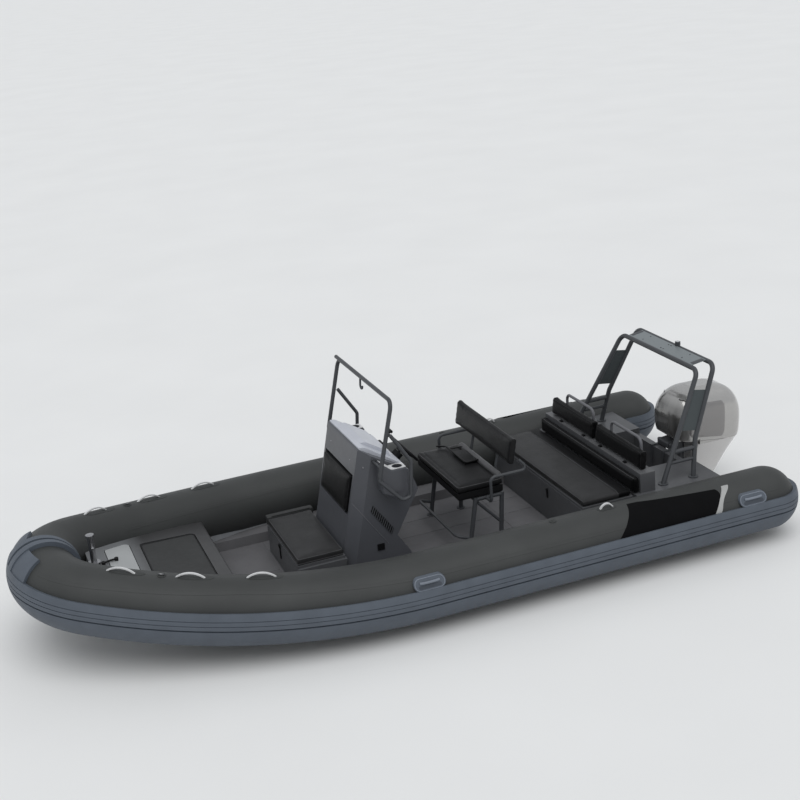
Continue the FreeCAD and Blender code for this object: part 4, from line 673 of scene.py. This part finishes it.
def make_rings_and_valves():
    """Lifting rings near the bow and low valve caps amidships, in place of the plain discs."""
    rings, caps = Shape(), Shape()
    for side in (1, -1):
        s = TUBE_LINE.distance(RING_X)
        top = TUBE_LINE.at(s, 90, 0, side)
        up = (TUBE_LINE.at(s, 90, 0.1, side) - top).normalized()
        ahead, behind = TUBE_LINE.at(s + 0.02, 90, 0, side), TUBE_LINE.at(s - 0.02, 90, 0, side)
        along = (ahead - behind).normalized()
        out = up.cross(along).normalized()
        turn = Matrix((along, out, up)).transposed().to_4x4()
        caps.lathe(RING_BASE, top, up)
        caps.block(top + up * 0.006, (0.030, 0.016, 0.006), 0.002, turn)
        lean = (up * 0.5 + out * 0.86).normalized()
        loop = [top + up * 0.008 + along * x + lean * y for x, y in RING_LOOP]
        rings.rod(smooth(loop, 4, True), 0.0032, 8, True)
        caps.lathe(VALVE_CAP, TUBE_LINE.at(TUBE_LINE.distance(VALVE_X), 90, 0, side))
    first = rings.piece("lifting_rings", "boat", "steel")
    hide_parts("valves")
    second = caps.piece("valve_caps", "boat", "tube_patch")
    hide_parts("valves")


# Carrying handles: middles by x, and a height 30 degrees up the tube
CARRY_HANDLE_XS = (0.255, -2.598)
CARRY_HANDLE_Z = TUBE_LINE.height + 0.2506 * math.sin(math.radians(30))
ARC_STEPS = 10


def flank_oval(x, z, half, end, lift, side):
    """Outline with round ends on the tube's flank: its fore arc, then its aft arc."""
    line = []
    for turn, toward in ((0, 1), (180, -1)):
        for k in range(ARC_STEPS + 1):
            a = math.radians(turn - 90 + 180 * k / ARC_STEPS)
            shift = (half - end) * toward
            line.append(TUBE_LINE.flank(x + shift + end * math.cos(a), z + end * math.sin(a), lift, side))
    return line


def make_oval_handles():
    """Rim, finger recess and grip of the carrying handles; the recess is a flat sheet in darker rubber,
    painted shade.
    """
    rims, shaded_recesses = Shape(), Shape()
    z = CARRY_HANDLE_Z
    for side in (1, -1):
        for x in CARRY_HANDLE_XS:
            rims.rod(flank_oval(x, z, 0.119, 0.0405, 0.0206, side), 0.0042, 8, True)
            grip = []
            for k in range(17):
                t = k / 8 - 1
                grip.append(TUBE_LINE.flank(x + t * 0.078, z + 0.012, 0.022 + 0.007 * (1 - t ** 4), side))
            rims.rod(grip, 0.0105, 12)
            # Flat darker sheet inside the rim, painted shade of the finger recess
            grids = []
            for lift in (0.0214, 0.018):
                oval = flank_oval(x, z - 0.017, 0.092, 0.012, lift, side)
                rows = zip(oval[:ARC_STEPS + 1], oval[:ARC_STEPS:-1])
                grids.append([[a.lerp(b, w) for w in (0, 0.5, 1)] for a, b in rows])
            shaded_recesses.slab(*grids)
    rims.piece("handle_grips", "boat", "handle_rubber", "strake")
    shaded_recesses.piece("handle_recesses", "boat", "strake_dark", "strake")


def make_swoosh():
    """Silver band that follows the side panel's aft end, by rows of (height, fore edge, aft edge)."""
    rows = ((0.405, -2.229, -2.288), (0.42, -2.241, -2.300), (0.45, -2.265, -2.317), (0.48, -2.289, -2.331),
            (0.515, -2.319, -2.361), (0.54, -2.350, -2.398), (0.56, -2.375, -2.432), (0.573, -2.389, -2.449))
    shape = Shape()
    for side in (1, -1):

        def point(row, w, lift):
            z, fore, aft = row
            return TUBE_LINE.flank(fore + (aft - fore) * w, z, lift, side)

        shape.slab(*sheet(point, smooth(rows, 5), (0, 0.25, 0.5, 0.75, 1), (0.0042, 0.0)))
    shape.piece("silver_bands", "boat", "silver", "steel")


# Bow

# Bow locker's top: aft edge, height there and slope; then its lid's ends by (x, half width)
LOCKER_AFT_X = 1.53
LOCKER_AFT_Z = 0.455
LOCKER_SLOPE = 9.4
LID_AFT = (1.652, 0.45)
LID_FORE = (2.118, 0.305)

# Mooring post, its top, and its pin
POST_X = 2.52
POST_TOP_Z = 0.864
PIN_Z = 0.773
PIN_HALF_LENGTH = 0.0645


def deck_z(x):
    """Height of the bow locker's sloping top."""
    return LOCKER_AFT_Z + (x - LOCKER_AFT_X) * math.tan(math.radians(LOCKER_SLOPE))


def make_anchor_latch():
    """Grip on two feet, and the catch beside it."""
    latch = Shape()
    foot = [(0.015, -0.014), (0.015, -0.002), (0.017, 0.001), (0.017, 0.009), (0.012, 0.013), (0, 0.014)]
    ends = [Vector((2.456, 0.036, deck_z(2.456) + 0.014)), Vector((2.348, -0.022, deck_z(2.348) + 0.016))]
    latch.rod(smooth([ends[0], ends[0].lerp(ends[1], 0.5) + Vector((0, 0, 0.003)), ends[1]], 4), 0.0085)
    for end in ends:
        latch.lathe(foot, end)
    latch.block((2.314, 0.256, deck_z(2.314) + 0.008), (0.044, 0.03, 0.014), 0.004, tilted(-LOCKER_SLOPE))
    latch.piece("anchor_latch", "anchor_lid", "black_plastic")


def make_locker_groove_shade():
    """Flat black strip round the top of the locker's lid, painted shade in the groove there."""
    trim = Shape()
    (x0, half0), (x1, half1) = LID_AFT, LID_FORE
    outer = rounded([(x0, -half0, 0), (x1, -half1, 0), (x1, half1, 0), (x0, half0, 0)], 0.032, 5, True)
    centre = Vector(((x0 + x1) / 2, 0, 0))

    def point(p, inset, drop):
        q = p + (centre - p).normalized() * inset
        return Vector((q.x, q.y, deck_z(q.x) - drop))

    trim.slab(*sheet(point, outer + outer[:1], (0.002, 0.0095, 0.017), (0.0026, 0.0046)))
    trim.piece("locker_lid_groove_shade", "bow_locker_lid", "black_plastic")


def make_post_cap():
    """Caps of the mooring post's top and of both ends of its pin."""
    cap = Shape()
    top = [(0.0336, -0.003), (0.0345, 0.0), (0.033, 0.004), (0.018, 0.0065), (0, 0.007)]
    cap.lathe(top, (POST_X, 0, POST_TOP_Z))
    pin_end = [(0.0095, -0.003), (0.013, 0.0), (0.013, 0.006), (0.008, 0.009), (0, 0.0095)]
    for side in (1, -1):
        cap.lathe(pin_end, (POST_X, side * PIN_HALF_LENGTH, PIN_Z), (0, side, 0))
    cap.piece("post_cap", "boat", "steel")


# Seats and console

def console_front(z):
    """Place of the console's sloping front at a height."""
    return 0.407 + (1.235 - z) * 0.237


def make_console_seams():
    trim = Shape()
    seam = [(0.5035, 0.3815, 0.795), (0.4395, 0.4505, 0.70), (0.40, 0.4508, 0.636), (0.247, 0.4508, 0.404)]
    for side in (1, -1):
        trim.rod([(x, y * side, z) for x, y, z in seam], 0.0026, 8)
    trim.piece("console_seams", "boat", "pale_rail", "dark_frame")


# Louvre slats on each side of the console
SLATS = 12


def make_vent_slats():
    dark = Shape()
    for side in (1, -1):
        for k in range(SLATS):
            t = (k + 0.5) / SLATS
            start = Vector((0.372 - 0.158 * t, side * 0.4585, 0.716 - 0.232 * t))
            dark.rod([start + Vector((0.001, 0, -0.002)), start + Vector((-0.0218, 0, 0.050))], 0.0048, 8)
    dark.piece("vent_slats", "boat", "dark_frame")


# Cup plates: the holder's middle, the plate's half length and half width, and the hole's radius
CUP_AT = (0.137, 0.5052)
CUP_HALF = (0.059, 0.050)
CUP_RADIUS = 0.0435


def make_cup_plates():
    """Pale plates round the cup holders, each with a rim and a strip up the slope before it."""
    pale = Shape()
    slope = ((0.197, 1.0805), (0.203, 1.083), (0.281, 1.1445))
    for side in (1, -1):
        ring_outer, ring_inner = [], []
        for k in range(48):
            a = 2 * math.pi * k / 48
            c, s = math.cos(a), math.sin(a)
            reach = min(CUP_HALF[0] / max(abs(c), 1e-6), CUP_HALF[1] / max(abs(s), 1e-6))
            for ring, far in ((ring_outer, reach), (ring_inner, CUP_RADIUS)):
                ring.append(Vector((CUP_AT[0] + far * c, side * (CUP_AT[1] + far * s), 0)))
        pairs = list(zip(ring_outer + ring_outer[:1], ring_inner + ring_inner[:1]))
        pale.slab(*[[[Vector((p.x, p.y, z)) for p in pair] for pair in pairs] for z in (1.0812, 1.0785)])
        pale.slab(*sheet(lambda row, y, lift: Vector((row[0], side * y, row[1] + lift)),
                         slope, (0.4555, 0.505, 0.555), (0.0008, -0.002)))
        pale.rod([Vector((p.x, p.y, 1.0815)) for p in ring_inner], 0.0028, 8, True)
    pale.piece("cup_plates", "boat", "white_plastic")


def make_console_studs():
    studs = Shape()
    for side in (1, -1):
        stud(studs, (console_front(1.108) - 0.001, 0.24 * side, 1.108), (0.97, 0, 0.23))
        stud(studs, (0.389, 0.4165 * side, 1.089), (0.97, 0.3 * side, 0.23))
    studs.piece("console_studs", "boat", "steel")


DIAL_YS = (0.22, 0.32)
DIAL_Z = 0.905
SWITCH_Z = 0.846


def make_instruments():
    """Two dials and a row of rocker switches on the console's aft face."""
    normal = Vector((-0.944, 0, 0.331))
    up = Vector((0.331, 0, 0.944))
    rims, faces, marks = Shape(), Shape(), Shape()
    dial = [(0.043, -0.004), (0.043, 0.004), (0.040, 0.007), (0.036, 0.007), (0.035, 0.002), (0.035, -0.004)]

    def face_point(y, z):
        """Point on the console's aft face, which leans forward with height."""
        return Vector((-0.046 + (z - 0.826) / 0.174 * 0.061, y, z))

    for y in DIAL_YS:
        at = face_point(y, DIAL_Z)
        rims.lathe(dial, at, normal)
        faces.lathe([(0.0355, -0.003), (0.0355, 0.002), (0, 0.0021)], at, normal)
        across = normal.cross(up)
        for k in range(11):
            a = math.radians(-130 + 26 * k)
            direction = up * math.cos(a) + across * math.sin(a)
            ends = [at + normal * 0.0026 + direction * far for far in (0.026, 0.032)]
            marks.rod(ends, 0.0007, 6)
        needle = up * math.cos(-1.9) + across * math.sin(-1.9)
        marks.rod([at + normal * 0.0034, at + normal * 0.0034 + needle * 0.025], 0.0009, 6)
    turn = Matrix((normal, Vector((0, 1, 0)), up)).transposed().to_4x4()
    faces.block(face_point(0.27, SWITCH_Z) + normal * 0.002, (0.006, 0.16, 0.030), 0.002, turn)
    for k in range(5):
        at = face_point(0.21 + 0.03 * k, SWITCH_Z) + normal * 0.007
        rims.block(at, (0.008, 0.013, 0.020), 0.002, turn @ tilted(8))
    rims.piece("dial_rims", "boat", "steel")
    faces.piece("dial_faces", "boat", "black_plastic")
    marks.piece("dial_marks", "boat", "white_plastic")


# The hoop's top bar
HOOP_X = 0.18
HOOP_BAR_Z = 1.672


def make_hoop_details():
    """Hook under the hoop's top bar, by (y, z), and the end of that bar."""
    shape = Shape()
    hook = ((-0.078, 1.662), (-0.090, 1.622), (-0.096, 1.586), (-0.080, 1.568), (-0.056, 1.574),
            (-0.044, 1.595))
    shape.rod(smooth([(HOOP_X, y, z) for y, z in hook], 5), 0.0085, 10)
    shape.rod([(HOOP_X, y, HOOP_BAR_Z) for y in (-0.565, -0.688, -0.695, -0.698)], 0.0165, 14)
    shape.piece("hoop_hook", "boat", "dark_frame")


# Middles of the latches across the boat, and the helm seat's roll
FRONT_LATCH_Y = -0.09
BENCH_LATCH_Y = 0.21
ROLL_AT = (-0.776, 0.02, 0.752)


def make_front_seat_details():
    """Latch below the lid's edge, and the coaming on the starboard side."""
    dark, pale = Shape(), Shape()
    dark.block((1.0205, FRONT_LATCH_Y, 0.302), (0.010, 0.020, 0.138), 0.003)
    dark.block((1.0245, FRONT_LATCH_Y, 0.350), (0.012, 0.034, 0.026), 0.004)
    dark.block((0.80, -0.470, 0.4495), (0.34, 0.014, 0.006), 0.002)
    pale.block((0.805, -0.497, 0.412), (0.41, 0.070, 0.079), 0.010)
    dark.piece("seat_latch", "boat", "black_plastic")
    pale.piece("seat_coaming", "boat", "dark_lid")


def make_helm_details():
    """Roll along the helm seat's aft edge, and its bracket."""
    bolster, bracket = Shape(), Shape()
    profile = [(0.006, -0.40), (0.018, -0.398), (0.026, -0.388), (0.028, -0.37),
               (0.028, 0.37), (0.026, 0.388), (0.018, 0.398), (0.006, 0.40)]
    bolster.lathe(profile, ROLL_AT, (0, 1, 0), 20)
    path = [(-0.572, -0.44, 0.762), (-0.633, -0.373, 0.772), (-0.633, 0.060, 0.772), (-0.752, 0.052, 0.772)]
    bracket.rod(rounded(path, 0.03), 0.0075)
    bracket.block((-0.692, -0.09, 0.760), (0.115, 0.27, 0.032), 0.008)
    stay = [(-0.752, -0.30, 0.768), (-0.700, -0.30, 0.768), (-0.633, -0.30, 0.772)]
    bracket.rod(rounded(stay, 0.02), 0.006)
    roll = bolster.piece("helm_bolster", "boat", "grey_vinyl", "cushion")
    bracket.piece("helm_bracket", "boat", "black_plastic")


def make_bench_details():
    """Latch of the bench's lid, and a flat black strip on each side behind the bench, painted shade in a
    slot in the stern deck.
    """
    dark = Shape()
    dark.block((-1.3065, BENCH_LATCH_Y, 0.389), (0.012, 0.020, 0.088), 0.003)
    dark.block((-1.302, BENCH_LATCH_Y, 0.42), (0.010, 0.032, 0.022), 0.003)
    # Black strips for the stern deck's slots: painted shade
    for side in (1, -1):
        dark.block((-2.058, side * 0.63, 0.5008), (0.016, 0.155, 0.005), 0.002)
    dark.piece("bench_latch_and_slot_shade", "boat", "black_plastic")


# Cockpit sole

SOLE_PAD_Z = 0.1302
SOLE_PAD_THICKNESS = 0.006


def make_sole_pads():
    """Low moulded non-slip pads with narrow channels between them, by (x0, x1, y0, y1)."""
    columns = ((-0.672, -0.387), (-0.379, -0.104), (-0.096, 0.282), (0.290, 0.672))
    pads = [(x0, x1, y0, y1) for y0, y1 in columns for x0, x1 in ((-1.298, -0.976), (-0.968, -0.03))]
    pads += [(-0.02, 0.612, 0.474, 0.672), (-0.02, 0.612, -0.672, -0.474),
             (0.62, 1.03, 0.486, 0.672), (0.62, 1.03, -0.672, -0.486),
             (1.038, 1.52, -0.672, -0.1), (1.038, 1.52, -0.092, 0.672)]
    shape = Shape()
    for x0, x1, y0, y1 in pads:
        middle = ((x0 + x1) / 2, (y0 + y1) / 2, SOLE_PAD_Z)
        shape.block(middle, (x1 - x0, y1 - y0, SOLE_PAD_THICKNESS), 0.002)
    shape.piece("sole_pads", "boat", "non_slip", "deck")


# Stern, arch and engine

# Places to look down and across from
ABOVE_ALL = 2.5
BESIDE_COWL = 0.6

# The arch's top plate: where its dark ends start and how far aft they go
PLATE_FORE_X = -2.585
PLATE_REACH = 0.112

# The cowl's side panel: its fore edge, its length, and how far its corners are cut
PANEL_FORE_X = -2.715
PANEL_LENGTH = 0.375
PANEL_CORNER = 0.05

# Middles of the battery box and of the fuel filter's foot
BATTERY_AT = (-2.15, -0.25)
FILTER_AT = (-2.10, 0.25, 0.185)


def top_of(node, x, y, lift=0.0):
    """Point on a node's top, seen from above."""
    _, at, normal, _ = NODES[node].ray_cast(Vector((x, y, ABOVE_ALL)), Vector((0, 0, -1)))
    return at + normal * lift


def make_arch_details():
    """Dark ends and studs of the arch's top plate, and the light's lens."""
    ends, lens = Shape(), Shape()
    for side in (1, -1):
        xs = [PLATE_FORE_X - PLATE_REACH * k / 6 for k in range(7)]
        ends.slab(*sheet(lambda x, y, lift: top_of("arch_plates", x, side * y, lift),
                         xs, (0.472, 0.494, 0.516), (0.0022, -0.002)))
        for x in (-2.60, -2.68):
            for y in (0.02, 0.32):
                stud(ends, top_of("arch_plates", x, side * y), (0, 0, 1), 0.007)
    ends.piece("arch_plate_ends", "boat", "dark_frame")
    low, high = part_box("nav_light")
    middle = (low + high) / 2
    lens.lathe([(0.0165, -0.001), (0.0165, 0.003), (0.012, 0.006), (0, 0.007)], (middle.x, middle.y, high.z))
    lens.piece("nav_lens", "boat", "lens", "white_plastic")


def cowl_point(x, z, lift, side):
    """Point on the cowl's side, found by looking across the boat."""
    start = Vector((x, side * BESIDE_COWL, z))
    hit, at, normal, _ = NODES["engine_cowl"].ray_cast(start, Vector((0, -side, 0)))
    return at + normal * lift if hit else None


def cowl_line(start, end, steps, lift, side):
    """Points on the cowl's side between two (x, z) places, without those that miss it."""
    line = []
    for k in range(steps + 1):
        x, z = (a + (b - a) * k / steps for a, b in zip(start, end))
        line.append(cowl_point(x, z, lift, side))
    return [p for p in line if p is not None]


def make_cowl_details():
    """Side panel and seam on each side of the cowl, and a black rod sunk in its side, painted shade in a
    slit.
    """
    panel, seam, dark = Shape(), Shape(), Shape()
    for side in (1, -1):

        def point(u, v, lift):
            corner = PANEL_CORNER * max(0, abs(2 * u - 1) - 0.86) / 0.14
            top = 0.902 - 0.018 * u - corner
            low = 0.588 - 0.062 * u + corner
            inner = 0 < v < 1 and 0 < u < 1
            x = PANEL_FORE_X - PANEL_LENGTH * u
            return cowl_point(x, low + (top - low) * v, lift if inner else -0.001, side)

        along, up = [i / 24 for i in range(25)], [k / 16 for k in range(17)]
        panel.slab(*sheet(point, along, up, (0.0030, -0.002)))
        seam.rod(cowl_line((-2.64, 0.565), (-3.14, 0.497), 30, 0.0002, side), 0.0024, 8)
        # Black rod sunk in the skin: painted shade inside the slit
        dark.rod(cowl_line((-2.68, 0.93), (-2.74, 0.918), 6, -0.0035, side), 0.0065, 8)
    panel.piece("cowl_panels", "engine_head", "cowl_panel")
    seam.piece("cowl_seams", "engine_head", "cowl_panel")
    dark.piece("cowl_slit_shade", "engine_head", "black_plastic")


def make_well_details():
    """Battery box and fuel filter in the engine well."""
    box, filters = Shape(), Shape()
    box.block((*BATTERY_AT, 0.262), (0.17, 0.26, 0.16), 0.014)
    box.block((*BATTERY_AT, 0.352), (0.18, 0.27, 0.03), 0.010)
    bowl = [(0.030, 0), (0.036, 0.01), (0.036, 0.085), (0.044, 0.09), (0.044, 0.115), (0.020, 0.125),
            (0, 0.126)]
    filters.lathe(bowl, FILTER_AT)
    box.piece("battery_box", "boat", "black_plastic")
    filters.piece("fuel_filter", "boat", "pale_deck")


# Cushions

def evaluated_mesh(obj):
    depsgraph = bpy.context.evaluated_depsgraph_get()
    return bpy.data.meshes.new_from_object(obj.evaluated_get(depsgraph))


def swelled(obj, cap, frames=20, pressure=4.0):
    """Runs cloth with pressure on a closed mesh and keeps each point within cap of where it was."""
    rest = [v.co.copy() for v in obj.data.vertices]
    mod = obj.modifiers.new("cloth", "CLOTH")
    mod.settings.use_pressure = True
    mod.settings.uniform_pressure_force = pressure
    mod.settings.effector_weights.gravity = 0.0
    mod.settings.quality = 5
    mod.settings.tension_stiffness = 10
    mod.settings.compression_stiffness = 10
    mod.point_cache.frame_start = 1
    mod.point_cache.frame_end = frames
    for number in range(1, frames + 1):
        SCENE.frame_set(number)
    mesh = evaluated_mesh(obj)
    obj.modifiers.clear()
    SCENE.frame_set(1)
    for vertex, start in zip(mesh.vertices, rest):
        step = vertex.co - start
        if step.length > cap:
            vertex.co = start + step.normalized() * cap
    return mesh


# How far a sewn channel spreads, and the piping's radius
SEAM_WIDTH = 0.009
WELT_RADIUS = 0.0032


def press_seams(mesh, seams):
    """Sewn channels, by rows of (axis, place, depth, test of the vertex)."""
    normals = [v.normal.copy() for v in mesh.vertices]
    for axis, place, depth, test in seams:
        for vertex, normal in zip(mesh.vertices, normals):
            away = (vertex.co[axis] - place) / SEAM_WIDTH
            if abs(away) < 3 and test(vertex.co, normal):
                vertex.co -= normal * depth * math.exp(-away * away)


def cushion(node, body, material="cushion", voxel=0.010, inset=0.005, cap=0.009, seams=()):
    """Stuffed cover in the place of a plain CAD cushion."""
    source = NODES[node]
    mesh = source.data.copy()
    low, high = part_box(node)
    centre = (low + high) / 2
    size = high - low
    scale = [1 - 2 * inset / max(s, 0.02) for s in size]
    for vertex in mesh.vertices:
        offset = vertex.co - centre
        vertex.co = centre + Vector([o * s for o, s in zip(offset, scale)])
    obj = bpy.data.objects.new(node + "_cover", mesh)
    SCENE.collection.objects.link(obj)
    remesh = obj.modifiers.new("remesh", "REMESH")
    remesh.mode = "VOXEL"
    remesh.voxel_size = voxel
    obj.data = evaluated_mesh(obj)
    obj.modifiers.clear()
    obj.data = swelled(obj, cap)
    relax = obj.modifiers.new("smooth", "SMOOTH")
    relax.factor = 0.5
    relax.iterations = 2
    finer = obj.modifiers.new("finer", "SUBSURF")
    finer.levels = 1
    obj.data = evaluated_mesh(obj)
    obj.modifiers.clear()
    press_seams(obj.data, seams)
    obj.data.shade_smooth()
    obj.data.materials.clear()
    obj.data.materials.append(MATERIALS[material])
    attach(obj, body)
    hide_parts(node)
    return obj


def welt(name, cover, loops, body, material="welt", closed=True):
    """Piping laid on a cover along loops of points."""
    shape = Shape()
    for loop in loops:
        path = []
        for p in spread(loop + loop[:1] if closed else loop, 0.012):
            _, at, normal, _ = cover.closest_point_on_mesh(p)
            path.append(at + normal * WELT_RADIUS * 0.3)
        shape.rod(path[:-1] if closed else path, WELT_RADIUS, 6, closed)
    return shape.piece(name, body, material, "cushion")


def flat_loop(x0, x1, y0, y1, z, radius=0.03):
    return rounded([(x0, y0, z), (x1, y0, z), (x1, y1, z), (x0, y1, z)], radius, 5, True)


def upright_loop(y0, y1, low, high, radius=0.03):
    """Loop on a leaning face between two (x, z) edges."""
    corners = [(low[0], y0, low[1]), (low[0], y1, low[1]), (high[0], y1, high[1]), (high[0], y0, high[1])]
    return rounded(corners, radius, 5, True)


def cross_line(x, half, z):
    """Straight line from starboard to port."""
    return [Vector((x, -half, z)), Vector((x, half, z))]


def is_top(co, normal):
    return normal.z > 0.4


# The bench seat's seam, behind which its vinyl is darker
BENCH_SEAM_X = -1.652


def make_cushions():
    seat = cushion("front_seat_cushion", "front_seat_lid", "seat_vinyl")
    # The front seat's piping follows the light line on its top edge; its lighter vinyl is partly a painted
    # highlight
    welt("front_seat_welt", seat, [flat_loop(0.634, 1.011, -0.436, 0.436, 0.446),
                                   flat_loop(0.626, 1.019, -0.444, 0.444, 0.404)], "front_seat_lid")
    back = cushion("console_backrest", "boat", "deep_vinyl")
    x0, x1 = console_front(0.705) + 0.014, console_front(0.995) + 0.014
    welt("backrest_welt", back, [upright_loop(-0.322, 0.322, (x0, 0.705), (x1, 0.995))], "boat",
         material="cushion")
    seams = [(0, -0.432, 0.003, is_top)]
    helm = cushion("helm_cushion", "boat", seams=seams)
    welt("helm_seat_welt", helm, [flat_loop(-0.786, -0.392, -0.445, 0.445, 0.736)], "boat")
    rest = cushion("helm_backrest", "boat")
    welt("helm_back_welt", rest, [upright_loop(-0.548, 0.548, (-0.808, 0.893), (-0.850, 1.096))], "boat",
         material="cushion")
    seams = [(0, BENCH_SEAM_X, 0.005, is_top)]
    bench = cushion("bench_cushion", "bench_lid", "seat_vinyl", voxel=0.012, seams=seams)
    bench.data.materials.append(MATERIALS["deep_vinyl"])
    for polygon in bench.data.polygons:
        if polygon.center.x < BENCH_SEAM_X:
            polygon.material_index = 1
    lines = [cross_line(BENCH_SEAM_X, 0.84, 0.548), cross_line(-1.322, 0.84, 0.542)]
    welt("bench_welt", bench, lines, "bench_lid", closed=False)
    roll = cushion("bench_roll", "boat", "deep_vinyl", voxel=0.012)
    welt("bench_roll_welt", roll, [cross_line(-1.797, 0.835, 0.645)], "boat", closed=False)
    uppers = cushion("bench_upper_cushions", "boat", "deep_vinyl")
    loops = []
    for side in (1, -1):
        y0, y1 = sorted((side * 0.038, side * 0.788))
        loops.append(upright_loop(y0, y1, (-1.888, 0.69), (-1.902, 0.826)))
    welt("upper_welt", uppers, loops, "boat", material="cushion")


# Camera, floor and light

def make_camera():
    data = bpy.data.cameras.new("camera")
    data.lens = LENS
    data.sensor_width = FRAME_WIDTH
    data.sensor_fit = "HORIZONTAL"
    data.clip_end = FAR_CLIP
    camera = bpy.data.objects.new("camera", data)
    SCENE.collection.objects.link(camera)
    right = CAMERA_AIM.cross(Vector((0, 0, 1))).normalized()
    up = right.cross(CAMERA_AIM)
    roll = math.radians(CAMERA_ROLL)
    right_rolled = right * math.cos(roll) + up * math.sin(roll)
    up_rolled = up * math.cos(roll) - right * math.sin(roll)
    axes = Matrix((right_rolled, up_rolled, -CAMERA_AIM)).transposed()
    camera.matrix_world = Matrix.Translation(CAMERA_AT) @ axes.to_4x4()
    SCENE.camera = camera


def make_floor():
    bm = bmesh.new()
    bmesh.ops.create_grid(bm, x_segments=8, y_segments=8, size=FLOOR_HALF)
    mesh = bpy.data.meshes.new("floor")
    bm.to_mesh(mesh)
    bm.free()
    floor = bpy.data.objects.new("floor", mesh)
    SCENE.collection.objects.link(floor)
    mesh.materials.append(floor_material())


def make_light():
    world = bpy.data.worlds.new("studio")
    SCENE.world = world
    world.use_nodes = True
    background = world.node_tree.nodes["Background"]
    background.inputs["Color"].default_value = (*SKY_COLOUR, 1)
    background.inputs["Strength"].default_value = SKY_STRENGTH
    sun = bpy.data.lights.new("sun", "SUN")
    sun.energy = SUN_POWER
    sun.angle = math.radians(SUN_SPREAD)
    light = bpy.data.objects.new("sun", sun)
    light.rotation_euler = SUN_TRAVEL.to_track_quat("-Z", "Y").to_euler()
    SCENE.collection.objects.link(light)


def main():
    SCENE.view_settings.view_transform = "Standard"
    make_camera()
    make_floor()
    make_light()
    finish_nodes()
    for build in (make_tube_seams, make_handle_pads, make_rings_and_valves, make_oval_handles, make_swoosh,
                  make_anchor_latch, make_locker_groove_shade, make_post_cap, make_console_seams, make_vent_slats,
                  make_cup_plates, make_console_studs, make_instruments, make_hoop_details,
                  make_front_seat_details, make_helm_details, make_bench_details, make_sole_pads,
                  make_arch_details, make_cowl_details, make_well_details, make_cushions):
        build()


main()
